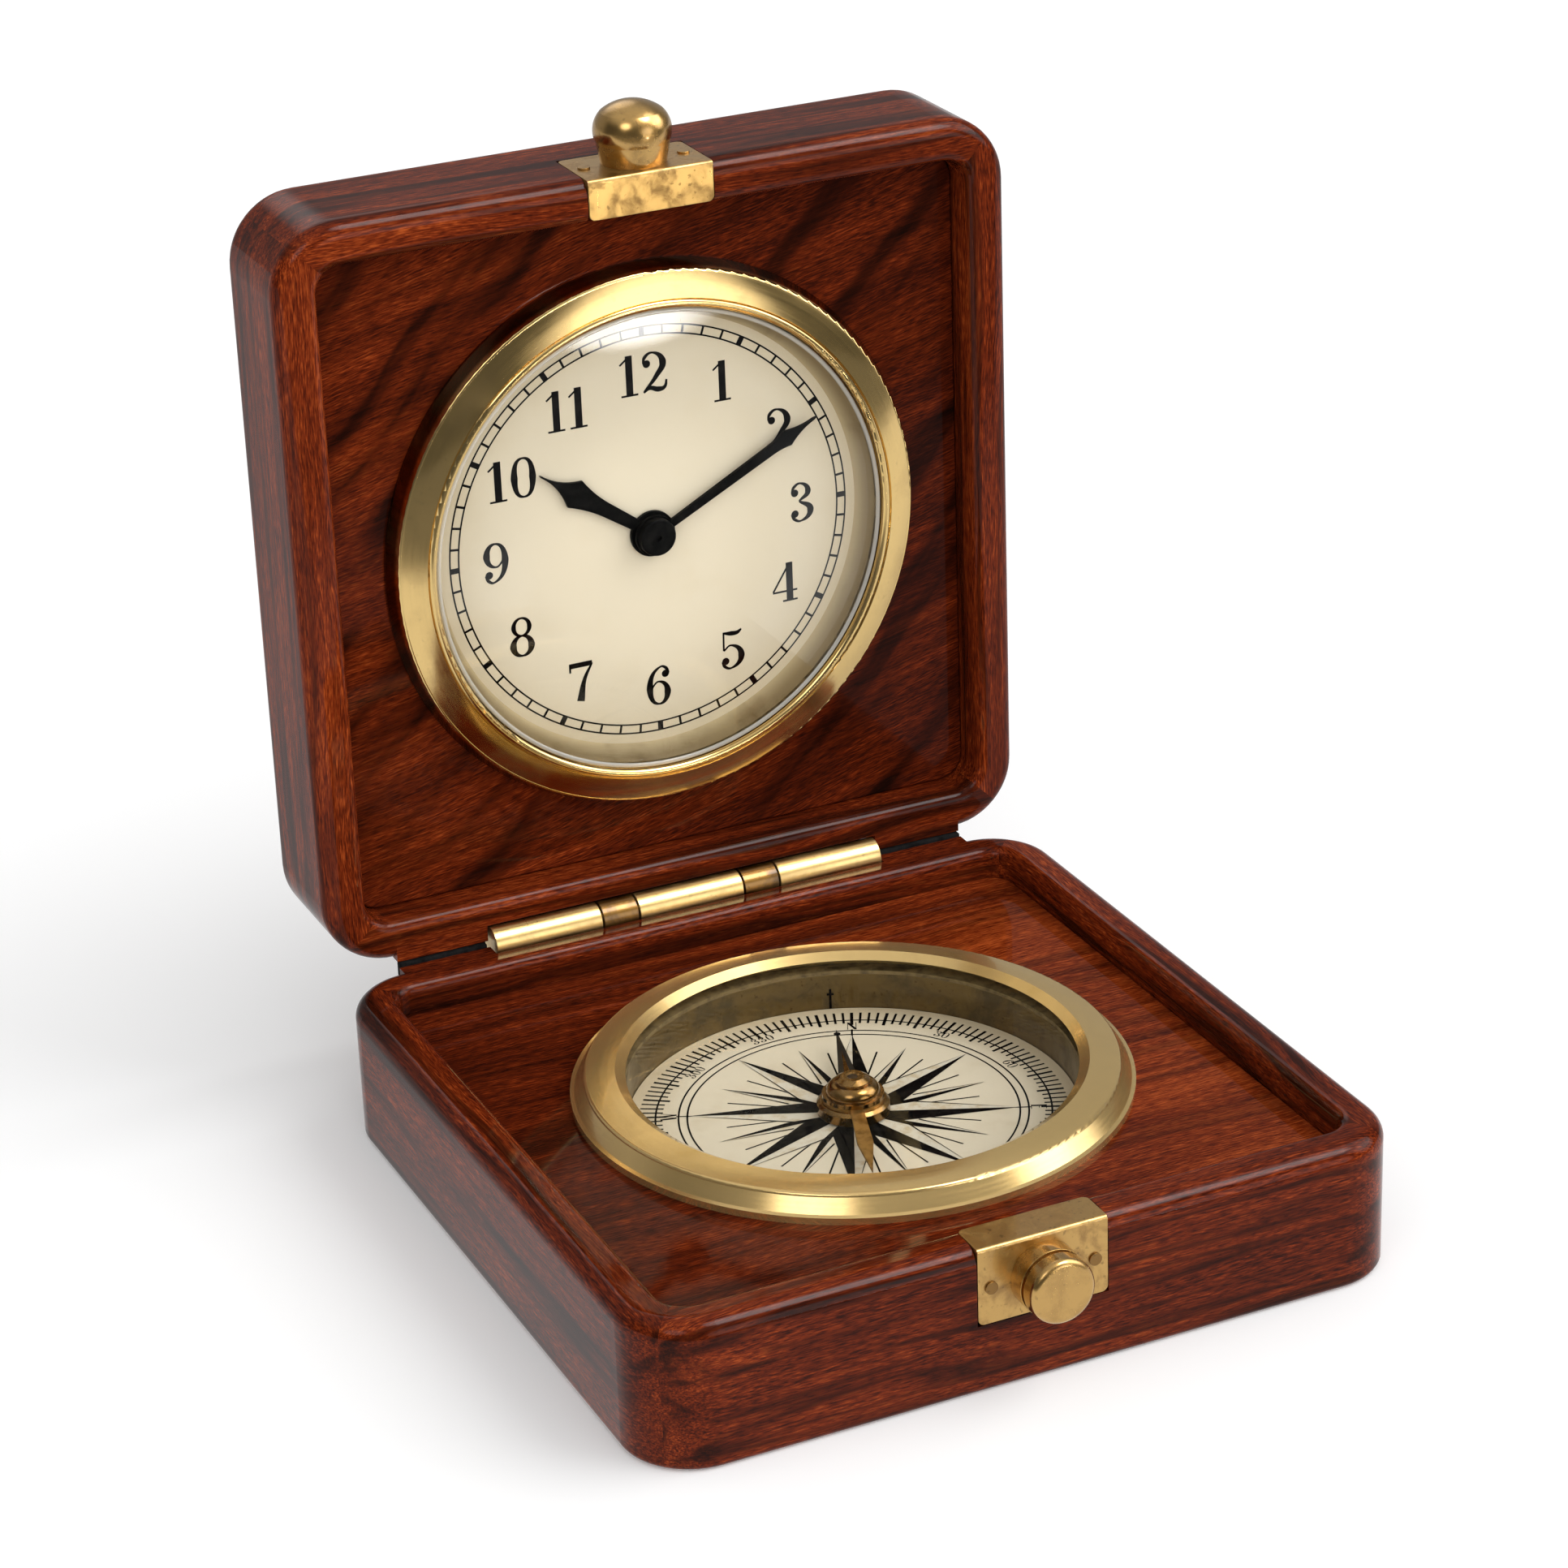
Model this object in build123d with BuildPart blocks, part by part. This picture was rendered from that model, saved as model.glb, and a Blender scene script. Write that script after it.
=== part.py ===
from build123d import *
import os
from math import cos, hypot, pi, radians, sin

# Travelling desk clock and compass: a hinged rosewood box with a clock in the lid and a compass in the base.
# Millimetres, +Z up, +X to the right, catch at the front (-Y), hinge at the back (+Y).
# The origin is the centre of the base's underside. The lid stands open on the hinge's stop.

# General
overrun = 1.0
running_fit = 0.05
press_fit = 0.01
up = (0, 0, 1)
right = (1, 0, 0)
left = (-1, 0, 0)

# Wooden box
box_width = 100.0
box_depth = 100.0
base_height = 19.2
lid_height = 19.2
corner_radius = 9.0
edge_round = 2.4
lid_back_round = 2.4
foot_round = 1.0
rim_width = 5.5
rim_inner_round = 1.4
rim_gap = 0.4
base_recess = 4.0
lid_recess = 5.2
ledge_width = 2.2
well_corner_radius = 3.0
panel_thickness = 5.0
panel_round = 0.4
panel_clearance = 0.1
board_thickness = 2.5
board_lip = 3.2
board_clearance = 0.1
open_angle = 90.0

# Hinge
knuckle_long = 15.0
knuckle_short = 5.5
knuckle_gap = 0.3
barrel_radius = 2.3
barrel_clearance = 0.3
hinge_offset = 0.4
hinge_pin_radius = 0.95
leaf_thickness = 1.0
leaf_width = 12.0
leaf_clearance = 0.1
stop_standoff = 0.6
stop_face = 1.4
stop_rib = 1.0
stop_clearance = 0.06
leaf_screw_drop = 8.2
leaf_screw_spacing = 14.0
leaf_screw_count = 4
leaf_screw_head_radius = 1.6
leaf_screw_head_depth = 0.8
leaf_screw_radius = 0.75
leaf_screw_length = 4.4
screw_taper = 45.0

# Catch plates, finger knobs and magnets
plate_width = 17.0
plate_leg = 10.0
plate_flange = 5.2
plate_thickness = 1.0
plate_bend = 0.5
plate_corner = 0.8
plate_clearance = 0.12
knob_drop = 5.3
knob_stud_radius = 1.0
knob_stud_length = 4.0
ball_foot_radius = 4.2
ball_belt_radius = 4.75
ball_radius = 5.0
ball_ridge_radius = 4.0
ball_belt_height = 2.7
ball_middle_height = 4.3
ball_ridge_height = 6.5
ball_height = 7.9
button_radius = 4.3
button_neck_length = 2.5
button_groove_radius = 3.8
button_groove_width = 0.5
button_head_radius = 4.2
button_height = 5.3
button_round = 0.9
plate_pin_spacing = 13.6
plate_pin_radius = 0.45
plate_pin_head_radius = 0.8
plate_pin_head_height = 0.25
plate_pin_length = 3.6
magnet_radius = 1.8
magnet_thickness = 2.0
magnet_spacing = 10.0
magnet_inset = 3.1

# Compass
compass_bore_radius = 29.6
bowl_clearance = 0.2
bowl_wall = 1.0
bowl_floor = 1.0
bowl_depth = 5.5
bowl_flange_width = 3.4
bowl_flange = 0.8
card_thickness = 0.4
card_clearance = 0.1
gasket_thickness = 0.5
compass_glass_seat = 2.2
compass_glass_thickness = 1.5
compass_bezel_wall = 2.4
compass_bezel_edge = 0.9
compass_bezel_step = 1.9
compass_bezel_step_height = 1.05
compass_bezel_side = 2.9
compass_bezel_side_height = 2.75
compass_bezel_shoulder = 2.4
compass_bezel_shoulder_height = 3.2
compass_bezel_shoulder_bulge = 0.12
compass_bezel_band_bulge = 0.06
compass_bezel_crown = 1.1
compass_bezel_height = 3.7
compass_lip = 0.2
bezel_clearance = 0.08
pivot_radius = 0.6
pivot_foot_radius = 1.6
pivot_foot_height = 0.5
pivot_height = 3.0
pivot_tip = 0.9
hub_radius = 4.6
hub_lift = 0.35
hub_height = 1.6
hub_waist_radius = 4.2
hub_waist_height = 0.4
spigot_radius = 1.9
spigot_height = 1.5
jewel_radius = 0.7
needle_thickness = 0.4
needle_ring_radius = 3.9
needle_length = 18.0
needle_half_width = 1.7
tail_length = 19.5
tail_half_width = 0.75
tail_barb_half_width = 1.0
tail_barb_share = 0.62
needle_heading = -19.0
cap_radius = 3.9
cap_collar_height = 0.55
cap_waist_radius = 3.45
cap_shoulder_radius = 2.5
cap_neck_radius = 2.2
cap_top_radius = 1.5
cap_shoulder_height = 2.0
cap_ring_height = 2.35
cap_height = 2.8
cap_dimple_radius = 0.9
cap_dimple_depth = 0.4

# Clock case, glass and dial, measured out from the lid's panel
case_wall = 0.8
case_depth = 10.0
case_flange_width = 2.3
case_flange = 0.8
case_lip = 9.4
grip_thickness = 1.0
grip_width = 2.5
grip_setback = 1.2
clock_bezel_wall = 2.6
clock_bezel_edge = 0.5
clock_bezel_flare = 0.8
clock_bezel_side = 2.6
clock_bezel_shoulder = 1.2
clock_bezel_shoulder_height = 2.95
clock_bezel_shoulder_bulge = 0.1
clock_bezel_band = 1.8
clock_bezel_band_height = 4.1
clock_bezel_band_bulge = 0.08
clock_bezel_groove = 0.15
clock_bezel_groove_depth = 0.2
clock_bezel_bead_bulge = 0.35
clock_lip_height = 4.05
clock_glass_seat = 0.8
clock_lip = 0.7
clock_glass_edge = 1.0
clock_glass_rim = 1.2
clock_glass_rise = 1.3
clock_glass_thickness = 1.2
dial_clearance = 0.2
dial_thickness = 0.4
dial_lift = -0.4
dial_hole_radius = 2.4
rehaut_foot = 1.9
rehaut_lip = 0.3
rehaut_height = 2.8
spacer_web = 1.0
spacer_wall = 1.2
spacer_clearance = 0.1
spacer_width = 7.0

# Movement
movement_margin = 4.0
movement_clearance = 0.3
movement_wall = 0.8
front_plate_thickness = 0.8
bridge_margin = 0.62
bridge_thickness = 0.8
pillar_radius = 1.6
pillar_inset = 2.5
pillar_first_angle = 45.0
pillar_count = 4
bridge_screw_radius = 0.7
bridge_screw_head_radius = 1.3
bridge_screw_head_height = 0.7
gear_module = 0.4
cannon_teeth = 10
minute_wheel_teeth = 30
minute_pinion_teeth = 8
hour_wheel_teeth = 32
setting_teeth = 10
hour_wheel_thickness = 0.7
minute_wheel_thickness = 0.8
layer_gap = 0.2
wheel_gap = 0.3
shoulder_gap = 0.05
arbor_radius = 1.2
arbor_collar_radius = 1.45
arbor_tail = 0.8
hour_pipe_wall = 0.64
minute_post_radius = 0.6
post_shoulder_radius = 1.1
setting_stem_radius = 1.0
setting_angle = -30.0
setting_knob_radius = 4.0
setting_knob_height = 1.3
setting_knob_teeth = 18
setting_knob_notch = 0.3
gear_box_width = 16.0
gear_box_length = 14.0
gear_box_height = 3.2
gear_box_shift = 3.0
gear_box_round = 1.0
coil_radius = 1.5
coil_length = 13.0
core_gap = 1.5
core_width = 1.8
core_thickness = 0.8
core_foot = 2.0
coil_gap = 1.2
coil_standoff = 0.4
board_plate_thickness = 0.6
board_plate_width = 8.6
board_plate_length = 13.0
board_plate_shift = 0.8
cell_radius = 5.8
cell_height = 2.1
cell_crimp = 0.5
cell_gap = 0.6
cell_drop = 4.0
cell_window_clearance = 0.4
contact_thickness = 0.25
contact_width = 3.0
contact_drop = 2.4
contact_gap = 0.8

# Hands
hand_thickness = 0.5
hand_gap = 0.35
hour_hand_length = 18.7
hour_neck_half_width = 0.7
hour_throat_half_width = 0.95
hour_spade_half_width = 1.95
hour_collet_radius = 3.1
minute_hand_length = 26.4
minute_neck_half_width = 0.5
minute_throat_half_width = 0.7
minute_spade_half_width = 1.15
minute_collet_radius = 2.75
hand_tip_half_width = 0.12
hand_nut_radius = 2.5
hand_nut_height = 1.0
hand_nut_round = 0.3
hand_nut_dimple_radius = 0.4
hand_nut_dimple_depth = 0.3
hand_nut_cap = 0.45
hour_mark_angle = 300.0
minute_hand_angle = 63.0

# Shares along a hand: throat, swell of the spade, and the waist of the point
hour_shares = (0.42, 0.57, 0.69, 0.81, 0.985)
minute_shares = (0.72, 0.78, 0.82, 0.90, 0.985)
swell_share = 0.37
point_share = 0.33

# Shares of the module and of the pitch that shape a gear's tooth
addendum_share = 0.85
dedendum_share = 1.2
tooth_share = 0.42
tip_share = 0.17
root_share = 0.46
tooth_sink_share = 0.9

# Derived places
hinge_length = 3 * knuckle_long + 2 * knuckle_short
hinge_land_length = box_width - 2 * corner_radius
hinge_y = box_depth / 2 + hinge_offset
hinge_z = base_height + rim_gap / 2
opening = radians(open_angle)
base_rim = Plane.XY.offset(base_height)
lid_centre = (
    0,
    hinge_y - hinge_y * cos(opening) + rim_gap / 2 * sin(opening),
    hinge_z + hinge_y * sin(opening) + rim_gap / 2 * cos(opening),
)
lid_rim = Plane(origin=lid_centre, x_dir=right, z_dir=(0, -sin(opening), -cos(opening)))
base_catch = Plane(origin=(0, -box_depth / 2, base_height), x_dir=right, z_dir=up)
base_hinge = Plane(origin=(0, box_depth / 2, base_height), x_dir=left, z_dir=up)
lid_catch = Plane(origin=lid_rim.from_local_coords((0, box_depth / 2, 0)), x_dir=left, z_dir=lid_rim.z_dir)
lid_hinge = Plane(origin=lid_rim.from_local_coords((0, -box_depth / 2, 0)), x_dir=right, z_dir=lid_rim.z_dir)
base_face = base_rim.offset(-base_recess)
lid_face = lid_rim.offset(-lid_recess)
compass_section = Plane(origin=base_face.origin, x_dir=right, z_dir=(0, -1, 0))
compass_axis = Axis(base_face.origin, base_face.z_dir)
clock_section = Plane(origin=lid_face.origin, x_dir=right, z_dir=lid_face.x_dir.cross(lid_face.z_dir))
clock_axis = Axis(lid_face.origin, lid_face.z_dir)

# Motion work's places on the dial's plane, and the radii that follow from what the movement holds
centre_distance = gear_module * (cannon_teeth + minute_wheel_teeth) / 2
minute_place = (0, -centre_distance)
setting_distance = gear_module * (setting_teeth + minute_wheel_teeth) / 2
setting_place = (
    setting_distance * cos(radians(setting_angle)),
    -centre_distance + setting_distance * sin(radians(setting_angle)),
)
core_length = coil_length + 2 * core_gap + 2 * core_foot
coil_drop = -setting_place[1] + setting_stem_radius + coil_gap + coil_radius
bridge_radius = hypot(core_length / 2, coil_drop + core_width / 2) + bridge_margin
pillar_circle_radius = bridge_radius - pillar_inset
movement_radius = bridge_radius + movement_margin
cell_place = (-gear_box_width / 2 - cell_gap - cell_radius, -cell_drop)
board_place = (cell_place[0] + board_plate_shift, cell_place[1])
spacer_inner = movement_radius + movement_clearance
spacer_outer = spacer_inner + spacer_width
case_inner = spacer_outer + spacer_clearance
case_radius = case_inner + case_wall
case_flange_radius = case_radius + case_flange_width
clock_glass_radius = case_inner + clock_glass_seat
clock_opening_radius = clock_glass_radius - clock_lip
clock_band_radius = case_flange_radius - clock_bezel_band
clock_groove_radius = clock_band_radius - clock_bezel_groove
clock_bezel_radius = case_flange_radius + clock_bezel_wall
clock_side_radius = clock_bezel_radius - clock_bezel_flare
clock_shoulder_radius = clock_bezel_radius - clock_bezel_shoulder


def side_face(edge):
    """Outer side of a tray at one edge: x along the edge, y towards the rim, z outwards."""
    return Plane(origin=edge.origin, x_dir=edge.x_dir, z_dir=-edge.y_dir)


def cross_section(edge):
    """Section across a tray's edge: x inwards from the outer side, y up from the rim."""
    return Plane(origin=edge.origin, x_dir=edge.y_dir, z_dir=edge.x_dir)


def annulus(outer, inner):
    """Flat ring in the sketch being drawn."""
    Circle(outer)
    Circle(inner, mode=Mode.SUBTRACT)


def inset_panel(face, bore_radius):
    """Board that lies on a tray's ledge, bored for its instrument."""
    width = box_width - 2 * rim_width - 2 * panel_clearance
    depth = box_depth - 2 * rim_width - 2 * panel_clearance
    with BuildPart() as panel:
        with BuildSketch(face):
            RectangleRounded(width, depth, corner_radius - rim_width - panel_clearance)
        extrude(amount=-panel_thickness)
        fillet(panel.faces().sort_by(Axis(face.origin, face.z_dir))[-1].edges(), panel_round)
        with BuildSketch(face):
            Circle(bore_radius)
        extrude(amount=-panel_thickness, mode=Mode.SUBTRACT)
    return panel


def outer_board(rim, height):
    """Board that closes a tray from outside, flush in its rebate."""
    inset = 2 * board_lip + 2 * board_clearance
    with BuildPart() as board:
        with BuildSketch(rim.offset(-height)):
            RectangleRounded(box_width - inset, box_depth - inset, corner_radius - inset / 2)
        extrude(amount=board_thickness)
    return board


def catch_mortise(edge):
    """What a tray loses for one catch: the plate's bed, the magnets' pockets, the stud's and pins' holes."""
    flange_end = plate_flange + plate_clearance
    leg_end = -plate_leg - plate_clearance
    with BuildPart() as mortise:
        with BuildSketch(cross_section(edge)):
            with BuildLine():
                Polyline(
                    (-overrun, overrun),
                    (flange_end, overrun),
                    (flange_end, -plate_thickness),
                    (plate_thickness, -plate_thickness),
                    (plate_thickness, leg_end),
                    (-overrun, leg_end),
                    close=True,
                )
            make_face()
        extrude(amount=plate_width / 2 + plate_clearance, both=True)
        with BuildSketch(edge.offset(-plate_thickness)):
            with Locations((0, magnet_inset)):
                with GridLocations(magnet_spacing, 0, 2, 1):
                    Circle(magnet_radius + press_fit)
        extrude(amount=-magnet_thickness)
        with BuildSketch(side_face(edge)):
            with Locations((0, -knob_drop)):
                Circle(knob_stud_radius + press_fit)
        extrude(amount=-plate_thickness - knob_stud_length)
        with BuildSketch(side_face(edge)):
            with Locations((0, -knob_drop)):
                with GridLocations(plate_pin_spacing, 0, 2, 1):
                    Circle(plate_pin_radius + press_fit)
        extrude(amount=-plate_thickness - plate_pin_length)
    return mortise.part


def hinge_mortise(edge):
    """What a tray loses for its hinge leaf: the leaf's bed, the barrel's groove and the screws' holes."""
    section = cross_section(edge)
    bed_height = leaf_width + leaf_clearance + overrun
    with BuildPart() as mortise:
        with BuildSketch(section):
            with Locations((-overrun, rim_gap / 2 - leaf_width - leaf_clearance)):
                Rectangle(overrun + leaf_thickness, bed_height, align=Align.MIN)
        extrude(amount=hinge_length / 2 + leaf_clearance, both=True)
        with BuildSketch(section):
            with Locations((-hinge_offset, rim_gap / 2)):
                Circle(barrel_radius + barrel_clearance)
        extrude(amount=hinge_length / 2 + barrel_clearance, both=True)
        with BuildSketch(side_face(edge)):
            with Locations((0, -leaf_screw_drop)):
                with GridLocations(leaf_screw_spacing, 0, leaf_screw_count, 1):
                    Circle(leaf_screw_radius + press_fit)
        extrude(amount=-leaf_screw_length)
    return mortise.part


def wooden_frame(rim, height, recess, back_round, catch, hinge):
    """Wooden wall of one half, rounded but for its hinge edge, with a panel's ledge and a board's rebate."""
    normal = Axis(rim.origin, rim.z_dir)
    catch_bed = catch_mortise(catch)
    hinge_bed = hinge_mortise(hinge)
    pocket_width = box_width - 2 * rim_width
    pocket_depth = box_depth - 2 * rim_width
    well_width = pocket_width - 2 * ledge_width
    well_depth = pocket_depth - 2 * ledge_width
    with BuildPart() as frame:
        with BuildSketch(rim):
            RectangleRounded(box_width, box_depth, corner_radius)
        extrude(amount=-height)
        fillet(frame.edges().group_by(normal)[-1], edge_round)
        fillet(frame.edges().group_by(normal)[0], back_round)
        with BuildSketch(cross_section(hinge)):
            with Locations((0, -edge_round)):
                Rectangle(edge_round, edge_round, align=Align.MIN)
        extrude(amount=hinge_land_length / 2, both=True)
        with BuildSketch(rim):
            RectangleRounded(pocket_width, pocket_depth, corner_radius - rim_width)
        extrude(amount=-(recess + panel_thickness), mode=Mode.SUBTRACT)
        fillet(frame.faces().sort_by(normal)[-1].inner_wires()[0].edges(), rim_inner_round)
        with BuildSketch(rim):
            RectangleRounded(well_width, well_depth, well_corner_radius)
        extrude(amount=-height, mode=Mode.SUBTRACT)
        with BuildSketch(rim.offset(-height)):
            RectangleRounded(box_width - 2 * board_lip, box_depth - 2 * board_lip, corner_radius - board_lip)
        extrude(amount=board_thickness, mode=Mode.SUBTRACT)
        add(catch_bed, mode=Mode.SUBTRACT)
        add(hinge_bed, mode=Mode.SUBTRACT)
    return frame


def stop_outline():
    """Corners of a leaf's stop rib in its section: its end lies on the plane that halves the open hinge."""
    half_angle = radians(180 - open_angle) / 2
    along = Vector(sin(half_angle), -cos(half_angle))
    back = Vector(-cos(half_angle), -sin(half_angle))
    near = barrel_radius + stop_standoff
    far = near + stop_face
    root = near + barrel_clearance
    corners = (
        along * near + back * (stop_clearance / 2),
        along * far + back * (stop_clearance / 2),
        along * far + back * (stop_clearance / 2 + stop_rib),
        Vector(-hinge_offset, -root - stop_rib),
        Vector(-hinge_offset, -root),
    )
    return [(-hinge_offset - corner.X, rim_gap / 2 + corner.Y) for corner in corners]


def hinge_leaf(edge, own_places, own_length, other_places, other_length, bore_radius):
    """One leaf: plate, its knuckles on the barrel, gaps for the other leaf's, stop rib and screw holes."""
    section = cross_section(edge)
    with BuildPart() as leaf:
        with BuildSketch(section):
            with Locations((0, rim_gap / 2 - leaf_width)):
                Rectangle(leaf_thickness, leaf_width, align=Align.MIN)
            with BuildLine():
                Polyline(*stop_outline(), close=True)
            make_face()
        extrude(amount=hinge_length / 2, both=True)
        for place in other_places:
            with BuildSketch(section.offset(place)):
                with Locations((-hinge_offset, rim_gap / 2)):
                    Circle(barrel_radius + barrel_clearance)
            extrude(amount=other_length / 2 + knuckle_gap, both=True, mode=Mode.SUBTRACT)
        for place in own_places:
            with BuildSketch(section.offset(place)):
                with Locations((-hinge_offset, rim_gap / 2)):
                    Circle(barrel_radius)
            extrude(amount=own_length / 2, both=True)
        with BuildSketch(section):
            with Locations((-hinge_offset, rim_gap / 2)):
                Circle(bore_radius)
        extrude(amount=hinge_length / 2, both=True, mode=Mode.SUBTRACT)
        with BuildSketch(side_face(edge)):
            with Locations((0, -leaf_screw_drop)):
                with GridLocations(leaf_screw_spacing, 0, leaf_screw_count, 1):
                    Circle(leaf_screw_head_radius + press_fit)
        extrude(amount=-leaf_screw_head_depth, taper=screw_taper, mode=Mode.SUBTRACT)
        with BuildSketch(side_face(edge)):
            with Locations((0, -leaf_screw_drop)):
                with GridLocations(leaf_screw_spacing, 0, leaf_screw_count, 1):
                    Circle(leaf_screw_radius + press_fit)
        extrude(amount=-leaf_thickness, mode=Mode.SUBTRACT)
    return leaf


def leaf_screws(edge):
    """Countersunk screws of one leaf, flush with its outer side."""
    with BuildPart() as screws:
        with BuildSketch(side_face(edge)):
            with Locations((0, -leaf_screw_drop)):
                with GridLocations(leaf_screw_spacing, 0, leaf_screw_count, 1):
                    Circle(leaf_screw_head_radius)
        extrude(amount=-leaf_screw_head_depth, taper=screw_taper)
        with BuildSketch(side_face(edge)):
            with Locations((0, -leaf_screw_drop)):
                with GridLocations(leaf_screw_spacing, 0, leaf_screw_count, 1):
                    Circle(leaf_screw_radius)
        extrude(amount=-leaf_screw_length)
    return screws


def catch_plate(edge):
    """Brass angle let into the rim and the outer side, with holes for the knob's stud and two pins."""
    along_leg = Axis(edge.origin, edge.z_dir)
    inwards = Axis(edge.origin, edge.y_dir)
    with BuildPart() as plate:
        with BuildSketch(cross_section(edge)):
            with BuildLine():
                Polyline(
                    (0, 0),
                    (plate_flange, 0),
                    (plate_flange, -plate_thickness),
                    (plate_thickness, -plate_thickness),
                    (plate_thickness, -plate_leg),
                    (0, -plate_leg),
                    close=True,
                )
            make_face()
        extrude(amount=plate_width / 2, both=True)
        fillet(plate.edges().filter_by(inwards).group_by(along_leg)[0], plate_corner)
        fillet(plate.edges().filter_by(along_leg).group_by(inwards)[-1], plate_corner)
        fillet(plate.edges().filter_by(Axis.X).sort_by_distance(edge.origin)[0], plate_bend)
        with BuildSketch(side_face(edge)):
            with Locations((0, -knob_drop)):
                Circle(knob_stud_radius + press_fit)
                with GridLocations(plate_pin_spacing, 0, 2, 1):
                    Circle(plate_pin_radius + press_fit)
        extrude(amount=-plate_thickness, mode=Mode.SUBTRACT)
    return plate


def plate_pins(edge):
    """Two flat-headed pins that nail a catch plate down."""
    with BuildPart() as pins:
        with BuildSketch(side_face(edge)):
            with Locations((0, -knob_drop)):
                with GridLocations(plate_pin_spacing, 0, 2, 1):
                    Circle(plate_pin_head_radius)
        extrude(amount=plate_pin_head_height)
        with BuildSketch(side_face(edge)):
            with Locations((0, -knob_drop)):
                with GridLocations(plate_pin_spacing, 0, 2, 1):
                    Circle(plate_pin_radius)
        extrude(amount=-plate_thickness - plate_pin_length)
    return pins


def catch_magnets(edge):
    """Two disc magnets under a plate's rim flange."""
    with BuildPart() as magnets:
        with BuildSketch(edge.offset(-plate_thickness)):
            with Locations((0, magnet_inset)):
                with GridLocations(magnet_spacing, 0, 2, 1):
                    Circle(magnet_radius)
        extrude(amount=-magnet_thickness)
    return magnets


def knob_section(edge):
    """Section through a knob: x out from its axis, y away from the plate."""
    face = side_face(edge)
    centre = face.from_local_coords((0, -knob_drop, 0))
    return Plane(origin=centre, x_dir=face.x_dir, z_dir=face.x_dir.cross(face.z_dir))


def gear_outline(teeth, first_tooth):
    """Gear of the motion work in the sketch being drawn, its straight-sided teeth thinned for play."""
    pitch_radius = gear_module * teeth / 2
    root_radius = pitch_radius - dedendum_share * gear_module
    tip_radius = pitch_radius + addendum_share * gear_module
    sunk_radius = root_radius * tooth_sink_share
    half_pitch = gear_module * pi / 2
    Circle(root_radius)
    with PolarLocations(0, teeth, start_angle=first_tooth):
        Polygon(
            (sunk_radius, -half_pitch * root_share),
            (pitch_radius, -half_pitch * tooth_share),
            (tip_radius, -half_pitch * tip_share),
            (tip_radius, half_pitch * tip_share),
            (pitch_radius, half_pitch * tooth_share),
            (sunk_radius, half_pitch * root_share),
            align=None,
        )


def level(height, place=(0, 0), turn=0):
    """Plane at a height in front of the lid's panel, moved to a place on it and turned about its normal."""
    across, along = place
    return Plane(
        origin=lid_face.from_local_coords((across, along, height)),
        x_dir=lid_face.x_dir.rotate(clock_axis, turn),
        z_dir=lid_face.z_dir,
    )


def hand_outline(neck, throat, spade, length, shares):
    """Half of a spade hand, from its axis to its point, mirrored."""
    throat_at, swell_at, spade_at, waist_at, point_at = shares
    swell = throat + (spade - throat) * swell_share
    waist = spade * point_share
    with BuildLine() as outline:
        Line((0, 0), (neck, 0))
        Line((neck, 0), (throat, throat_at * length))
        ThreePointArc((throat, throat_at * length), (swell, swell_at * length), (spade, spade_at * length))
        ThreePointArc(
            (spade, spade_at * length), (waist, waist_at * length), (hand_tip_half_width, point_at * length)
        )
        Line((hand_tip_half_width, point_at * length), (0, length))
        mirror(about=Plane.YZ)
    return outline.line


# Wooden halves
base_frame = wooden_frame(base_rim, base_height, base_recess, foot_round, base_catch, base_hinge)
base_panel = inset_panel(base_face, compass_bore_radius)
base_bottom = outer_board(base_rim, base_height)
lid_frame = wooden_frame(lid_rim, lid_height, lid_recess, lid_back_round, lid_catch, lid_hinge)
lid_panel = inset_panel(lid_face, case_radius + grip_thickness)
lid_back = outer_board(lid_rim, lid_height)

# Hinge: three long knuckles on the base's leaf, two short ones on the lid's
knuckle_step = knuckle_long + knuckle_short
long_places = [-knuckle_step, 0, knuckle_step]
short_places = [-knuckle_step / 2, knuckle_step / 2]
short_length = knuckle_short - 2 * knuckle_gap
tight_bore = hinge_pin_radius + press_fit
free_bore = hinge_pin_radius + running_fit
base_hinge_leaf = hinge_leaf(base_hinge, long_places, knuckle_long, short_places, short_length, tight_bore)
lid_hinge_leaf = hinge_leaf(lid_hinge, short_places, short_length, long_places, knuckle_long, free_bore)
base_leaf_screws = leaf_screws(base_hinge)
lid_leaf_screws = leaf_screws(lid_hinge)

with BuildPart() as hinge_pin:
    with BuildSketch(cross_section(base_hinge)):
        with Locations((-hinge_offset, rim_gap / 2)):
            Circle(hinge_pin_radius)
    extrude(amount=hinge_length / 2, both=True)

# Catch plates, pins and magnets
base_catch_plate = catch_plate(base_catch)
lid_catch_plate = catch_plate(lid_catch)
base_plate_pins = plate_pins(base_catch)
lid_plate_pins = plate_pins(lid_catch)
base_magnets = catch_magnets(base_catch)
lid_magnets = catch_magnets(lid_catch)

# Finger knobs: a ball on the lid and a button on the base, each turned with its stud
stud_end = -plate_thickness - knob_stud_length
ball_section = knob_section(lid_catch)
button_section = knob_section(base_catch)
button_axis = Axis(button_section.origin, button_section.y_dir)

with BuildPart() as lid_knob:
    with BuildSketch(ball_section):
        with BuildLine():
            Polyline(
                (0, ball_height),
                (0, stud_end),
                (knob_stud_radius, stud_end),
                (knob_stud_radius, 0),
                (ball_foot_radius, 0),
                (ball_belt_radius, ball_belt_height),
            )
            ThreePointArc(
                (ball_belt_radius, ball_belt_height),
                (ball_radius, ball_middle_height),
                (ball_ridge_radius, ball_ridge_height),
            )
            TangentArc((0, ball_height), (ball_ridge_radius, ball_ridge_height), tangent=right)
        make_face()
    revolve(axis=Axis(ball_section.origin, ball_section.y_dir))

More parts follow.
